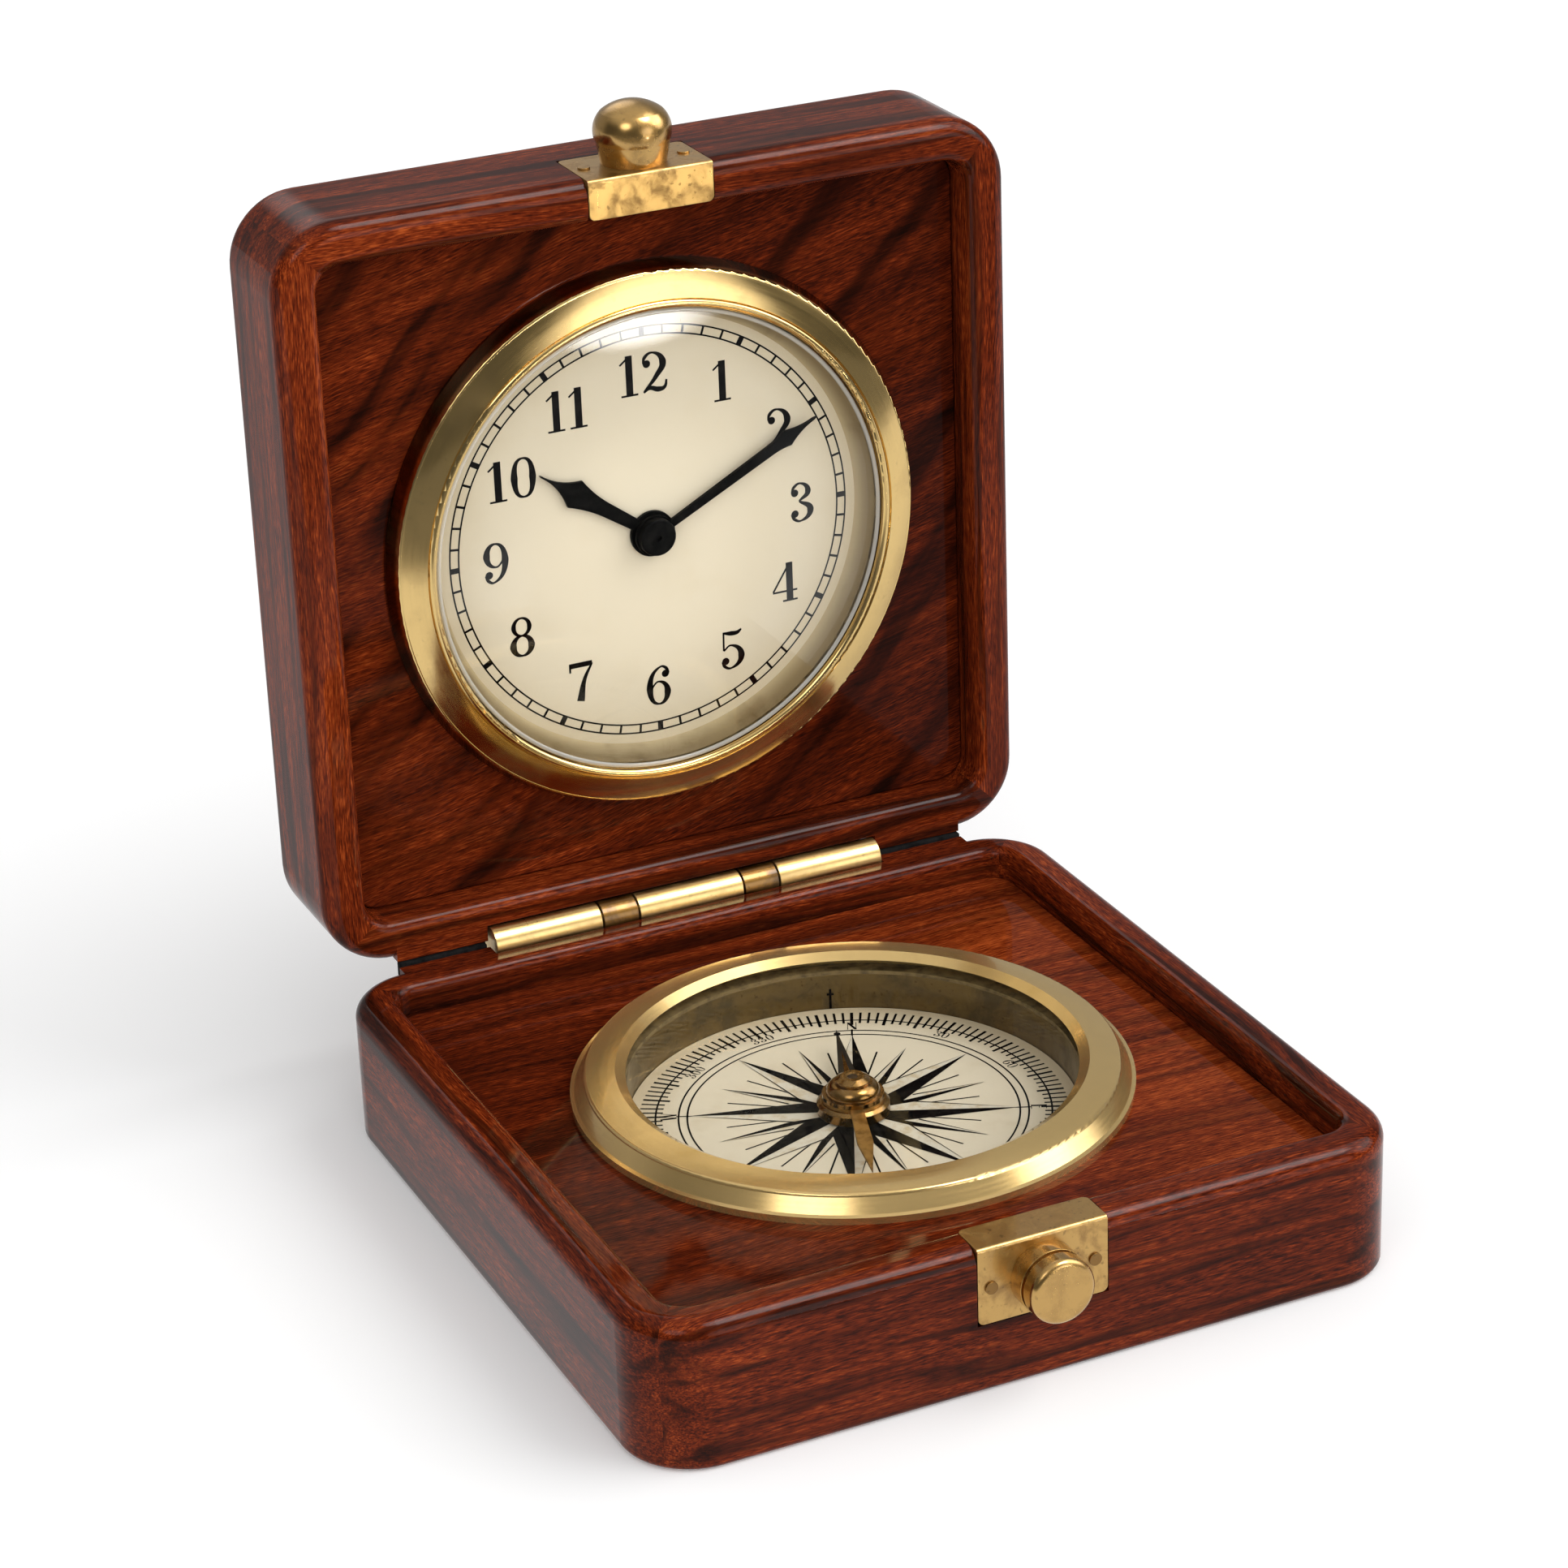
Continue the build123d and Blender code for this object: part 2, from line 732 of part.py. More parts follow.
with BuildPart() as base_knob:
    groove_end = button_neck_length + button_groove_width
    with BuildSketch(button_section):
        with BuildLine():
            Polyline(
                (0, stud_end),
                (knob_stud_radius, stud_end),
                (knob_stud_radius, 0),
                (button_radius, 0),
                (button_radius, button_neck_length),
                (button_groove_radius, button_neck_length),
                (button_groove_radius, groove_end),
                (button_head_radius, groove_end),
                (button_head_radius, button_height),
                (0, button_height),
                close=True,
            )
        make_face()
    revolve(axis=button_axis)
    fillet(base_knob.faces().sort_by(button_axis)[-1].edges(), button_round)

# Compass, measured up from the base's panel
bowl_outer = compass_bore_radius - bowl_clearance
bowl_inner = bowl_outer - bowl_wall
bowl_flange_radius = bowl_outer + bowl_flange_width
compass_glass_radius = bowl_inner + compass_glass_seat
compass_opening_radius = bowl_inner - compass_lip
compass_bezel_radius = bowl_flange_radius + compass_bezel_wall
compass_step_radius = bowl_flange_radius + compass_bezel_step
compass_side_radius = compass_glass_radius + compass_bezel_side
compass_shoulder_radius = compass_glass_radius + compass_bezel_shoulder
compass_crown_radius = compass_glass_radius - compass_bezel_crown
floor_top = bowl_floor - bowl_depth
card_top = floor_top + card_thickness
hub_bottom = card_top + hub_lift
needle_bottom = hub_bottom + hub_height
cap_bottom = needle_bottom + needle_thickness
gasket_bottom = bowl_flange
compass_glass_bottom = gasket_bottom + gasket_thickness
compass_glass_top = compass_glass_bottom + compass_glass_thickness

with BuildPart() as compass_bowl:
    with BuildSketch(compass_section):
        with BuildLine():
            Polyline(
                (0, -bowl_depth),
                (bowl_outer, -bowl_depth),
                (bowl_outer, 0),
                (bowl_flange_radius, 0),
                (bowl_flange_radius, bowl_flange),
                (bowl_inner, bowl_flange),
                (bowl_inner, floor_top),
                (0, floor_top),
                close=True,
            )
        make_face()
    revolve(axis=compass_axis)

with BuildPart() as compass_card:
    with BuildSketch(base_face.offset(floor_top)):
        annulus(bowl_inner - card_clearance, pivot_foot_radius + card_clearance)
    extrude(amount=card_thickness)

with BuildPart() as compass_gasket:
    with BuildSketch(base_face.offset(gasket_bottom)):
        annulus(compass_glass_radius, bowl_inner)
    extrude(amount=gasket_thickness)

with BuildPart() as compass_glass:
    with BuildSketch(base_face.offset(compass_glass_bottom)):
        Circle(compass_glass_radius)
    extrude(amount=compass_glass_thickness)

with BuildPart() as compass_bezel:
    lip_bottom = compass_glass_top + bezel_clearance
    shelf = bowl_flange + bezel_clearance
    with BuildSketch(compass_section):
        with BuildLine():
            Polyline(
                (compass_opening_radius, lip_bottom),
                (compass_glass_radius + bezel_clearance, lip_bottom),
                (compass_glass_radius + bezel_clearance, shelf),
                (bowl_flange_radius + bezel_clearance, shelf),
                (bowl_flange_radius + bezel_clearance, 0),
                (compass_bezel_radius, 0),
                (compass_bezel_radius, compass_bezel_edge),
                (compass_step_radius, compass_bezel_step_height),
                (compass_side_radius, compass_bezel_side_height),
            )
            SagittaArc(
                (compass_side_radius, compass_bezel_side_height),
                (compass_shoulder_radius, compass_bezel_shoulder_height),
                -compass_bezel_shoulder_bulge,
            )
            SagittaArc(
                (compass_shoulder_radius, compass_bezel_shoulder_height),
                (compass_crown_radius, compass_bezel_height),
                -compass_bezel_band_bulge,
            )
            Line((compass_crown_radius, compass_bezel_height), (compass_opening_radius, lip_bottom))
        make_face()
    revolve(axis=compass_axis)

with BuildPart() as compass_pivot:
    with BuildSketch(compass_section):
        with BuildLine():
            Polyline(
                (0, floor_top),
                (pivot_foot_radius, floor_top),
                (pivot_foot_radius, floor_top + pivot_foot_height),
                (pivot_radius, floor_top + pivot_foot_height),
                (pivot_radius, floor_top + pivot_height - pivot_tip),
                (0, floor_top + pivot_height),
                close=True,
            )
        make_face()
    revolve(axis=compass_axis)

with BuildPart() as needle_hub:
    spigot_top = needle_bottom + spigot_height
    cone_top = floor_top + pivot_height + running_fit
    with BuildSketch(compass_section):
        with BuildLine():
            Polyline(
                (jewel_radius, hub_bottom),
                (hub_radius, hub_bottom),
                (hub_radius, needle_bottom - hub_waist_height),
                (hub_waist_radius, needle_bottom),
                (spigot_radius, needle_bottom),
                (spigot_radius, spigot_top),
                (0, spigot_top),
                (0, cone_top),
                (jewel_radius, cone_top - pivot_tip),
                close=True,
            )
        make_face()
    revolve(axis=compass_axis)

with BuildPart() as needle:
    with BuildSketch(base_face.offset(needle_bottom).rotated((0, 0, needle_heading))):
        with BuildLine():
            Polyline(
                (0, needle_length),
                (needle_half_width, 0),
                (tail_half_width, 0),
                (tail_barb_half_width, -tail_length * tail_barb_share),
                (0, -tail_length),
                (-tail_barb_half_width, -tail_length * tail_barb_share),
                (-tail_half_width, 0),
                (-needle_half_width, 0),
                close=True,
            )
        make_face()
        Circle(needle_ring_radius)
        Circle(spigot_radius + press_fit, mode=Mode.SUBTRACT)
    extrude(amount=needle_thickness)

with BuildPart() as needle_cap:
    bore_top = cap_bottom + spigot_height - needle_thickness + running_fit
    with BuildSketch(compass_section):
        with BuildLine():
            Polyline(
                (cap_shoulder_radius, cap_bottom + cap_shoulder_height),
                (cap_neck_radius, cap_bottom + cap_shoulder_height),
                (cap_neck_radius, cap_bottom + cap_ring_height),
                (cap_top_radius, cap_bottom + cap_height),
                (cap_dimple_radius, cap_bottom + cap_height),
                (0, cap_bottom + cap_height - cap_dimple_depth),
                (0, bore_top),
                (spigot_radius + press_fit, bore_top),
                (spigot_radius + press_fit, cap_bottom),
                (cap_radius, cap_bottom),
                (cap_radius, cap_bottom + cap_collar_height),
                (cap_waist_radius, cap_bottom + cap_collar_height),
            )
            TangentArc(
                (cap_waist_radius, cap_bottom + cap_collar_height),
                (cap_shoulder_radius, cap_bottom + cap_shoulder_height),
                tangent=(0, 1),
            )
        make_face()
    revolve(axis=compass_axis)

# Clock case and what it holds, measured out from the lid's panel
case_floor = case_wall - case_depth
dial_back = dial_lift - dial_thickness
glass_seat = dial_lift + rehaut_height
glass_edge_top = glass_seat + clock_glass_edge
glass_top = glass_edge_top + clock_glass_rise

with BuildPart() as clock_case:
    with BuildSketch(clock_section):
        with BuildLine():
            Polyline(
                (case_inner - case_lip, -case_depth),
                (case_radius, -case_depth),
                (case_radius, 0),
                (case_flange_radius, 0),
                (case_flange_radius, case_flange),
                (case_inner, case_flange),
                (case_inner, case_floor),
                (case_inner - case_lip, case_floor),
                close=True,
            )
        make_face()
    revolve(axis=clock_axis)

with BuildPart() as clock_grip_ring:
    with BuildSketch(level(-grip_setback - grip_width)):
        annulus(case_radius + grip_thickness - press_fit, case_radius + press_fit)
    extrude(amount=grip_width)

with BuildPart() as clock_bezel:
    lip_bottom = glass_edge_top + bezel_clearance
    shelf = case_flange + bezel_clearance
    groove_bottom = clock_bezel_band_height - clock_bezel_groove_depth
    with BuildSketch(clock_section):
        with BuildLine():
            Polyline(
                (clock_opening_radius, clock_lip_height),
                (clock_opening_radius, lip_bottom),
                (clock_glass_radius + bezel_clearance, lip_bottom),
                (clock_glass_radius + bezel_clearance, shelf),
                (case_flange_radius + bezel_clearance, shelf),
                (case_flange_radius + bezel_clearance, 0),
                (clock_bezel_radius, 0),
                (clock_bezel_radius, clock_bezel_edge),
                (clock_side_radius, clock_bezel_side),
            )
            SagittaArc(
                (clock_side_radius, clock_bezel_side),
                (clock_shoulder_radius, clock_bezel_shoulder_height),
                -clock_bezel_shoulder_bulge,
            )
            SagittaArc(
                (clock_shoulder_radius, clock_bezel_shoulder_height),
                (clock_band_radius, clock_bezel_band_height),
                -clock_bezel_band_bulge,
            )
            Line((clock_band_radius, clock_bezel_band_height), (clock_groove_radius, groove_bottom))
            SagittaArc(
                (clock_groove_radius, groove_bottom),
                (clock_opening_radius, clock_lip_height),
                -clock_bezel_bead_bulge,
            )
        make_face()
    revolve(axis=clock_axis)

with BuildPart() as clock_glass:
    dome_radius = clock_glass_radius - clock_glass_rim
    with BuildSketch(clock_section):
        with BuildLine():
            TangentArc((0, glass_top), (dome_radius, glass_edge_top), tangent=right)
            Polyline(
                (dome_radius, glass_edge_top),
                (clock_glass_radius, glass_edge_top),
                (clock_glass_radius, glass_seat),
                (dome_radius, glass_seat),
            )
            TangentArc((0, glass_top - clock_glass_thickness), (dome_radius, glass_seat), tangent=right)
            Line((0, glass_top - clock_glass_thickness), (0, glass_top))
        make_face()
    revolve(axis=clock_axis)

with BuildPart() as rehaut_ring:
    with BuildSketch(clock_section):
        with BuildLine():
            Polyline(
                (spacer_outer - rehaut_foot, dial_lift),
                (spacer_outer, dial_lift),
                (spacer_outer, glass_seat),
                (spacer_outer - rehaut_lip, glass_seat),
                close=True,
            )
        make_face()
    revolve(axis=clock_axis)

with BuildPart() as dial:
    with BuildSketch(level(dial_back)):
        annulus(case_inner - dial_clearance, dial_hole_radius)
    extrude(amount=dial_thickness)

with BuildPart() as movement_spacer:
    with BuildSketch(clock_section):
        with BuildLine():
            Polyline(
                (spacer_inner, case_floor),
                (spacer_inner + spacer_wall, case_floor),
                (spacer_inner + spacer_wall, dial_back - spacer_web),
                (spacer_outer - spacer_wall, dial_back - spacer_web),
                (spacer_outer - spacer_wall, case_floor),
                (spacer_outer, case_floor),
                (spacer_outer, dial_back),
                (spacer_inner, dial_back),
                close=True,
            )
        make_face()
    revolve(axis=clock_axis)

# Motion work: heights of its layers
plate_back = dial_back - front_plate_thickness
hour_wheel_bottom = plate_back - layer_gap - hour_wheel_thickness
minute_wheel_top = hour_wheel_bottom - wheel_gap
minute_wheel_bottom = minute_wheel_top - minute_wheel_thickness
bridge_top = minute_wheel_bottom - wheel_gap
bridge_bottom = bridge_top - bridge_thickness
cover_inner = case_floor + movement_wall
pipe_bore = arbor_radius + running_fit
pipe_radius = pipe_bore + hour_pipe_wall
hour_hand_bottom = dial_lift + layer_gap + running_fit
hour_hand_top = hour_hand_bottom + hand_thickness
minute_hand_bottom = hour_hand_top + hand_gap
nut_bottom = minute_hand_bottom + hand_thickness
arbor_top = nut_bottom + hand_nut_height - hand_nut_cap

# First teeth: a tooth of the minute wheel points at the cannon pinion, and the others face it with a gap
upwards = 90
wheel_pitch = 360 / minute_wheel_teeth
cannon_first = -upwards + 180 / cannon_teeth
hour_first = -upwards + 180 / hour_wheel_teeth
setting_lead = (upwards - setting_angle) % wheel_pitch * minute_wheel_teeth / setting_teeth
setting_first = 180 + setting_angle - setting_lead + 180 / setting_teeth

with BuildPart() as front_plate:
    with BuildSketch(level(plate_back)):
        annulus(movement_radius, pipe_radius + running_fit)
        with PolarLocations(pillar_circle_radius, pillar_count, start_angle=pillar_first_angle):
            Circle(bridge_screw_radius + press_fit, mode=Mode.SUBTRACT)
    extrude(amount=front_plate_thickness)

with BuildPart() as bridge:
    with BuildSketch(level(bridge_bottom)):
        annulus(bridge_radius, arbor_radius + running_fit)
    extrude(amount=bridge_thickness)
    with BuildSketch(level(bridge_top)):
        with PolarLocations(pillar_circle_radius, pillar_count, start_angle=pillar_first_angle):
            Circle(pillar_radius)
    extrude(amount=plate_back - bridge_top)
    with BuildSketch(level(bridge_bottom)):
        with PolarLocations(pillar_circle_radius, pillar_count, start_angle=pillar_first_angle):
            Circle(bridge_screw_radius + press_fit)
    extrude(amount=plate_back - bridge_bottom, mode=Mode.SUBTRACT)
    with BuildSketch(level(bridge_top, minute_place)):
        Circle(post_shoulder_radius)
    extrude(amount=wheel_gap - shoulder_gap)
    with BuildSketch(level(bridge_top, minute_place)):
        Circle(minute_post_radius)
    extrude(amount=plate_back - bridge_top - shoulder_gap)
    with BuildSketch(level(bridge_bottom, setting_place)):
        Circle(setting_stem_radius + running_fit)
    extrude(amount=bridge_thickness, mode=Mode.SUBTRACT)

with BuildPart() as bridge_screws:
    with BuildSketch(level(bridge_bottom)):
        with PolarLocations(pillar_circle_radius, pillar_count, start_angle=pillar_first_angle):
            Circle(bridge_screw_head_radius)
    extrude(amount=-bridge_screw_head_height)
    with BuildSketch(level(bridge_bottom)):
        with PolarLocations(pillar_circle_radius, pillar_count, start_angle=pillar_first_angle):
            Circle(bridge_screw_radius)
    extrude(amount=dial_back - bridge_bottom)

with BuildPart() as back_cover:
    with BuildSketch(clock_section):
        with BuildLine():
            Polyline(
                (0, case_floor),
                (movement_radius, case_floor),
                (movement_radius, plate_back),
                (movement_radius - movement_wall, plate_back),
                (movement_radius - movement_wall, cover_inner),
                (0, cover_inner),
                close=True,
            )
        make_face()
    revolve(axis=clock_axis)
    with BuildSketch(level(case_floor)):
        with Locations(setting_place):
            Circle(setting_stem_radius + running_fit)
        with Locations(cell_place):
            Circle(cell_radius + cell_window_clearance)
    extrude(amount=movement_wall, mode=Mode.SUBTRACT)

with BuildPart() as centre_arbor:
    with BuildSketch(clock_section):
        with BuildLine():
            Polyline(
                (0, bridge_bottom - arbor_tail),
                (arbor_radius, bridge_bottom - arbor_tail),
                (arbor_radius, bridge_top + shoulder_gap),
                (arbor_collar_radius, bridge_top + shoulder_gap),
                (arbor_collar_radius, hour_wheel_bottom - shoulder_gap),
                (arbor_radius, hour_wheel_bottom - shoulder_gap),
                (arbor_radius, arbor_top),
                (0, arbor_top),
                close=True,
            )
        make_face()
    revolve(axis=clock_axis)
    with BuildSketch(level(minute_wheel_bottom)):
        gear_outline(cannon_teeth, cannon_first)
    extrude(amount=minute_wheel_thickness)

with BuildPart() as minute_wheel:
    pinion_height = hour_wheel_bottom + hour_wheel_thickness - minute_wheel_top
    with BuildSketch(level(minute_wheel_bottom, minute_place)):
        gear_outline(minute_wheel_teeth, upwards)
    extrude(amount=minute_wheel_thickness)
    with BuildSketch(level(minute_wheel_top, minute_place)):
        gear_outline(minute_pinion_teeth, upwards)
    extrude(amount=pinion_height)
    with BuildSketch(level(minute_wheel_bottom, minute_place)):
        Circle(minute_post_radius + running_fit)
    extrude(amount=minute_wheel_thickness + pinion_height, mode=Mode.SUBTRACT)

with BuildPart() as hour_wheel:
    with BuildSketch(level(hour_wheel_bottom)):
        gear_outline(hour_wheel_teeth, hour_first)
    extrude(amount=hour_wheel_thickness)
    with BuildSketch(level(hour_wheel_bottom)):
        Circle(pipe_radius)
    extrude(amount=hour_hand_top - hour_wheel_bottom)
    with BuildSketch(level(hour_wheel_bottom)):
        Circle(pipe_bore)
    extrude(amount=hour_hand_top - hour_wheel_bottom, mode=Mode.SUBTRACT)

with BuildPart() as setting_arbor:
    knob_top = case_floor - layer_gap
    with BuildSketch(level(knob_top - setting_knob_height, setting_place)):
        Circle(setting_stem_radius)
    extrude(amount=plate_back - shoulder_gap - knob_top + setting_knob_height)
    with BuildSketch(level(minute_wheel_bottom, setting_place)):
        gear_outline(setting_teeth, setting_first)
    extrude(amount=minute_wheel_thickness)

with BuildPart() as setting_knob:
    with BuildSketch(level(case_floor - layer_gap, setting_place)):
        Circle(setting_knob_radius)
        with PolarLocations(setting_knob_radius, setting_knob_teeth):
            Circle(setting_knob_notch, mode=Mode.SUBTRACT)
        Circle(setting_stem_radius + press_fit, mode=Mode.SUBTRACT)
    extrude(amount=-setting_knob_height)

with BuildPart() as step_gear_box:
    with BuildSketch(level(bridge_bottom, (0, gear_box_shift))):
        RectangleRounded(gear_box_width, gear_box_length, gear_box_round)
    extrude(amount=-gear_box_height)
    with BuildSketch(level(bridge_bottom)):
        Circle(arbor_radius + running_fit)
    extrude(amount=-arbor_tail - shoulder_gap, mode=Mode.SUBTRACT)

# Drive coil on its core, whose feet stand on the bridge
coil_height = bridge_bottom - coil_standoff - coil_radius
coil_plane = Plane(origin=level(coil_height, (0, -coil_drop)).origin, x_dir=lid_face.y_dir, z_dir=right)
core_plane = Plane(origin=coil_plane.origin, x_dir=right, z_dir=lid_face.x_dir.cross(lid_face.z_dir))

with BuildPart() as drive_coil:
    with BuildSketch(coil_plane):
        Circle(coil_radius)
        Rectangle(core_width + 2 * running_fit, core_thickness + 2 * running_fit, mode=Mode.SUBTRACT)
    extrude(amount=coil_length / 2, both=True)

with BuildPart() as coil_core:
    foot_top = bridge_bottom - coil_height
    with BuildSketch(core_plane):
        with BuildLine():
            Polyline(
                (-core_length / 2, foot_top),
                (-core_length / 2, -core_thickness / 2),
                (core_length / 2, -core_thickness / 2),
                (core_length / 2, foot_top),
                (core_length / 2 - core_foot, foot_top),
                (core_length / 2 - core_foot, core_thickness / 2),
                (-core_length / 2 + core_foot, core_thickness / 2),
                (-core_length / 2 + core_foot, foot_top),
                close=True,
            )
        make_face()
    extrude(amount=core_width / 2, both=True)

# Button cell, its two contacts and the circuit board under them
board_bottom = bridge_bottom - board_plate_thickness
cell_top = board_bottom - contact_gap
cell_section = Plane(origin=level(0, cell_place).origin, x_dir=right, z_dir=clock_section.z_dir)
rim_section = Plane(origin=cell_section.origin, x_dir=lid_face.y_dir, z_dir=right)

with BuildPart() as circuit_board:
    with BuildSketch(level(bridge_bottom, board_place)):
        Rectangle(board_plate_width, board_plate_length)
    extrude(amount=-board_plate_thickness)

with BuildPart() as button_cell:
    with BuildSketch(level(cell_top, cell_place)):
        Circle(cell_radius)
    extrude(amount=-cell_height)
    chamfer(button_cell.faces().sort_by(clock_axis)[-1].edges(), cell_crimp)

with BuildPart() as cell_spring:
    with BuildSketch(cell_section):
        with BuildLine():
            Polyline(
                (-contact_width, board_bottom),
                (0, board_bottom),
                (contact_width, cell_top + contact_thickness),
                (contact_width, cell_top),
                (0, board_bottom - contact_thickness),
                (-contact_width, board_bottom - contact_thickness),
                close=True,
            )
        make_face()
    extrude(amount=contact_width / 2, both=True)

with BuildPart() as cell_side_contact:
    with BuildSketch(rim_section):
        with Locations((cell_radius + running_fit, board_bottom)):
            Rectangle(contact_thickness, contact_drop, align=(Align.MIN, Align.MAX))
    extrude(amount=contact_width / 2, both=True)

# Hands
hour_hand_angle = hour_mark_angle + minute_hand_angle / 12

hour_outline = hand_outline(
    hour_neck_half_width, hour_throat_half_width, hour_spade_half_width, hour_hand_length, hour_shares
)
minute_outline = hand_outline(
    minute_neck_half_width,
    minute_throat_half_width,
    minute_spade_half_width,
    minute_hand_length,
    minute_shares,
)

with BuildPart() as hour_hand:
    with BuildSketch(level(hour_hand_bottom, turn=-hour_hand_angle)):
        add(hour_outline)
        make_face()
        Circle(hour_collet_radius)
        Circle(pipe_radius + press_fit, mode=Mode.SUBTRACT)
    extrude(amount=hand_thickness)

with BuildPart() as minute_hand:
    with BuildSketch(level(minute_hand_bottom, turn=-minute_hand_angle)):
        add(minute_outline)
        make_face()
        Circle(minute_collet_radius)
        Circle(arbor_radius + press_fit, mode=Mode.SUBTRACT)
    extrude(amount=hand_thickness)

with BuildPart() as hand_nut:
    with BuildSketch(level(nut_bottom)):
        Circle(hand_nut_radius)
    extrude(amount=hand_nut_height)
    with BuildSketch(level(nut_bottom)):
        Circle(arbor_radius + press_fit)
    extrude(amount=arbor_top - nut_bottom, mode=Mode.SUBTRACT)
    fillet(hand_nut.faces().sort_by(clock_axis)[-1].edges(), hand_nut_round)
    with BuildSketch(level(nut_bottom + hand_nut_height)):
        Circle(hand_nut_dimple_radius)
    extrude(amount=-hand_nut_dimple_depth, mode=Mode.SUBTRACT)

pieces = {
    "base_frame": base_frame,
    "base_panel": base_panel,
    "base_bottom": base_bottom,
    "lid_frame": lid_frame,
    "lid_panel": lid_panel,
    "lid_back": lid_back,
    "base_hinge_leaf": base_hinge_leaf,
    "lid_hinge_leaf": lid_hinge_leaf,
    "hinge_pin": hinge_pin,
    "base_leaf_screws": base_leaf_screws,
    "lid_leaf_screws": lid_leaf_screws,
    "base_catch_plate": base_catch_plate,
    "lid_catch_plate": lid_catch_plate,
    "base_plate_pins": base_plate_pins,
    "lid_plate_pins": lid_plate_pins,
    "base_magnets": base_magnets,
    "lid_magnets": lid_magnets,
    "lid_knob": lid_knob,
    "base_knob": base_knob,
    "compass_bowl": compass_bowl,
    "compass_card": compass_card,
    "compass_gasket": compass_gasket,
    "compass_glass": compass_glass,
    "compass_bezel": compass_bezel,
    "compass_pivot": compass_pivot,
    "needle_hub": needle_hub,
    "needle": needle,
    "needle_cap": needle_cap,
    "clock_case": clock_case,
    "clock_grip_ring": clock_grip_ring,
    "clock_bezel": clock_bezel,
    "clock_glass": clock_glass,
    "rehaut_ring": rehaut_ring,
    "dial": dial,
    "movement_spacer": movement_spacer,
    "front_plate": front_plate,
    "bridge": bridge,
    "bridge_screws": bridge_screws,
    "back_cover": back_cover,
    "centre_arbor": centre_arbor,
    "minute_wheel": minute_wheel,
    "hour_wheel": hour_wheel,
    "setting_arbor": setting_arbor,
    "setting_knob": setting_knob,
    "step_gear_box": step_gear_box,
    "drive_coil": drive_coil,
    "coil_core": coil_core,
    "circuit_board": circuit_board,
    "button_cell": button_cell,
    "cell_spring": cell_spring,
    "cell_side_contact": cell_side_contact,
    "hour_hand": hour_hand,
    "minute_hand": minute_hand,
    "hand_nut": hand_nut,
}

os.makedirs("parts", exist_ok=True)
for name, piece in pieces.items():
    piece.part.label = name
    export_step(piece.part, f"parts/{name}.step")
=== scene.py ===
"""Looks of a travelling desk clock: a rosewood box with a clock in its lid and a compass in its base."""

import logging
from collections.abc import Iterable
from dataclasses import dataclass
from enum import Enum
from functools import partial
from math import cos, pi, radians, sin, tau
from typing import Any

import bmesh
import bpy
from mathutils import Matrix, Vector


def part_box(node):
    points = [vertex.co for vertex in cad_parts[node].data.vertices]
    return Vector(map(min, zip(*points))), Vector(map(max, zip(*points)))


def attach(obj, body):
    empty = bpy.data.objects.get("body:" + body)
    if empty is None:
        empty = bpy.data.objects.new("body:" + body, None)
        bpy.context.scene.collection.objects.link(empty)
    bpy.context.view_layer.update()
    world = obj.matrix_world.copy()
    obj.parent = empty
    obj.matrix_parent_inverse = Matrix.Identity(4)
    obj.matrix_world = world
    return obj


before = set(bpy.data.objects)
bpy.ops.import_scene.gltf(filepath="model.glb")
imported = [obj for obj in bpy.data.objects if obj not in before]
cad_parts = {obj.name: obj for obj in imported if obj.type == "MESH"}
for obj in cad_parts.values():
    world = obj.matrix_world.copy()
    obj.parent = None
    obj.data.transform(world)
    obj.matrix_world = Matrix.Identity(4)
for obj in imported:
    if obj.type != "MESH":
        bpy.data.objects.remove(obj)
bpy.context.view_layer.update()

MM = 0.001
PHOTO_WIDTH = 1932
HOURS = 12
MINUTES = 60
CARDINALS = {0: "N", 90: "E", 180: "S", 270: "W"}
log = logging.getLogger("desk_clock")

Colour = tuple[float, float, float, float]
Pair = tuple[float, float]
Triple = tuple[float, float, float]
Stroke = tuple[tuple[float, ...], ...]
WHITE: Colour = (1.0, 1.0, 1.0, 1.0)
BLACK: Colour = (0.0, 0.0, 0.0, 1.0)


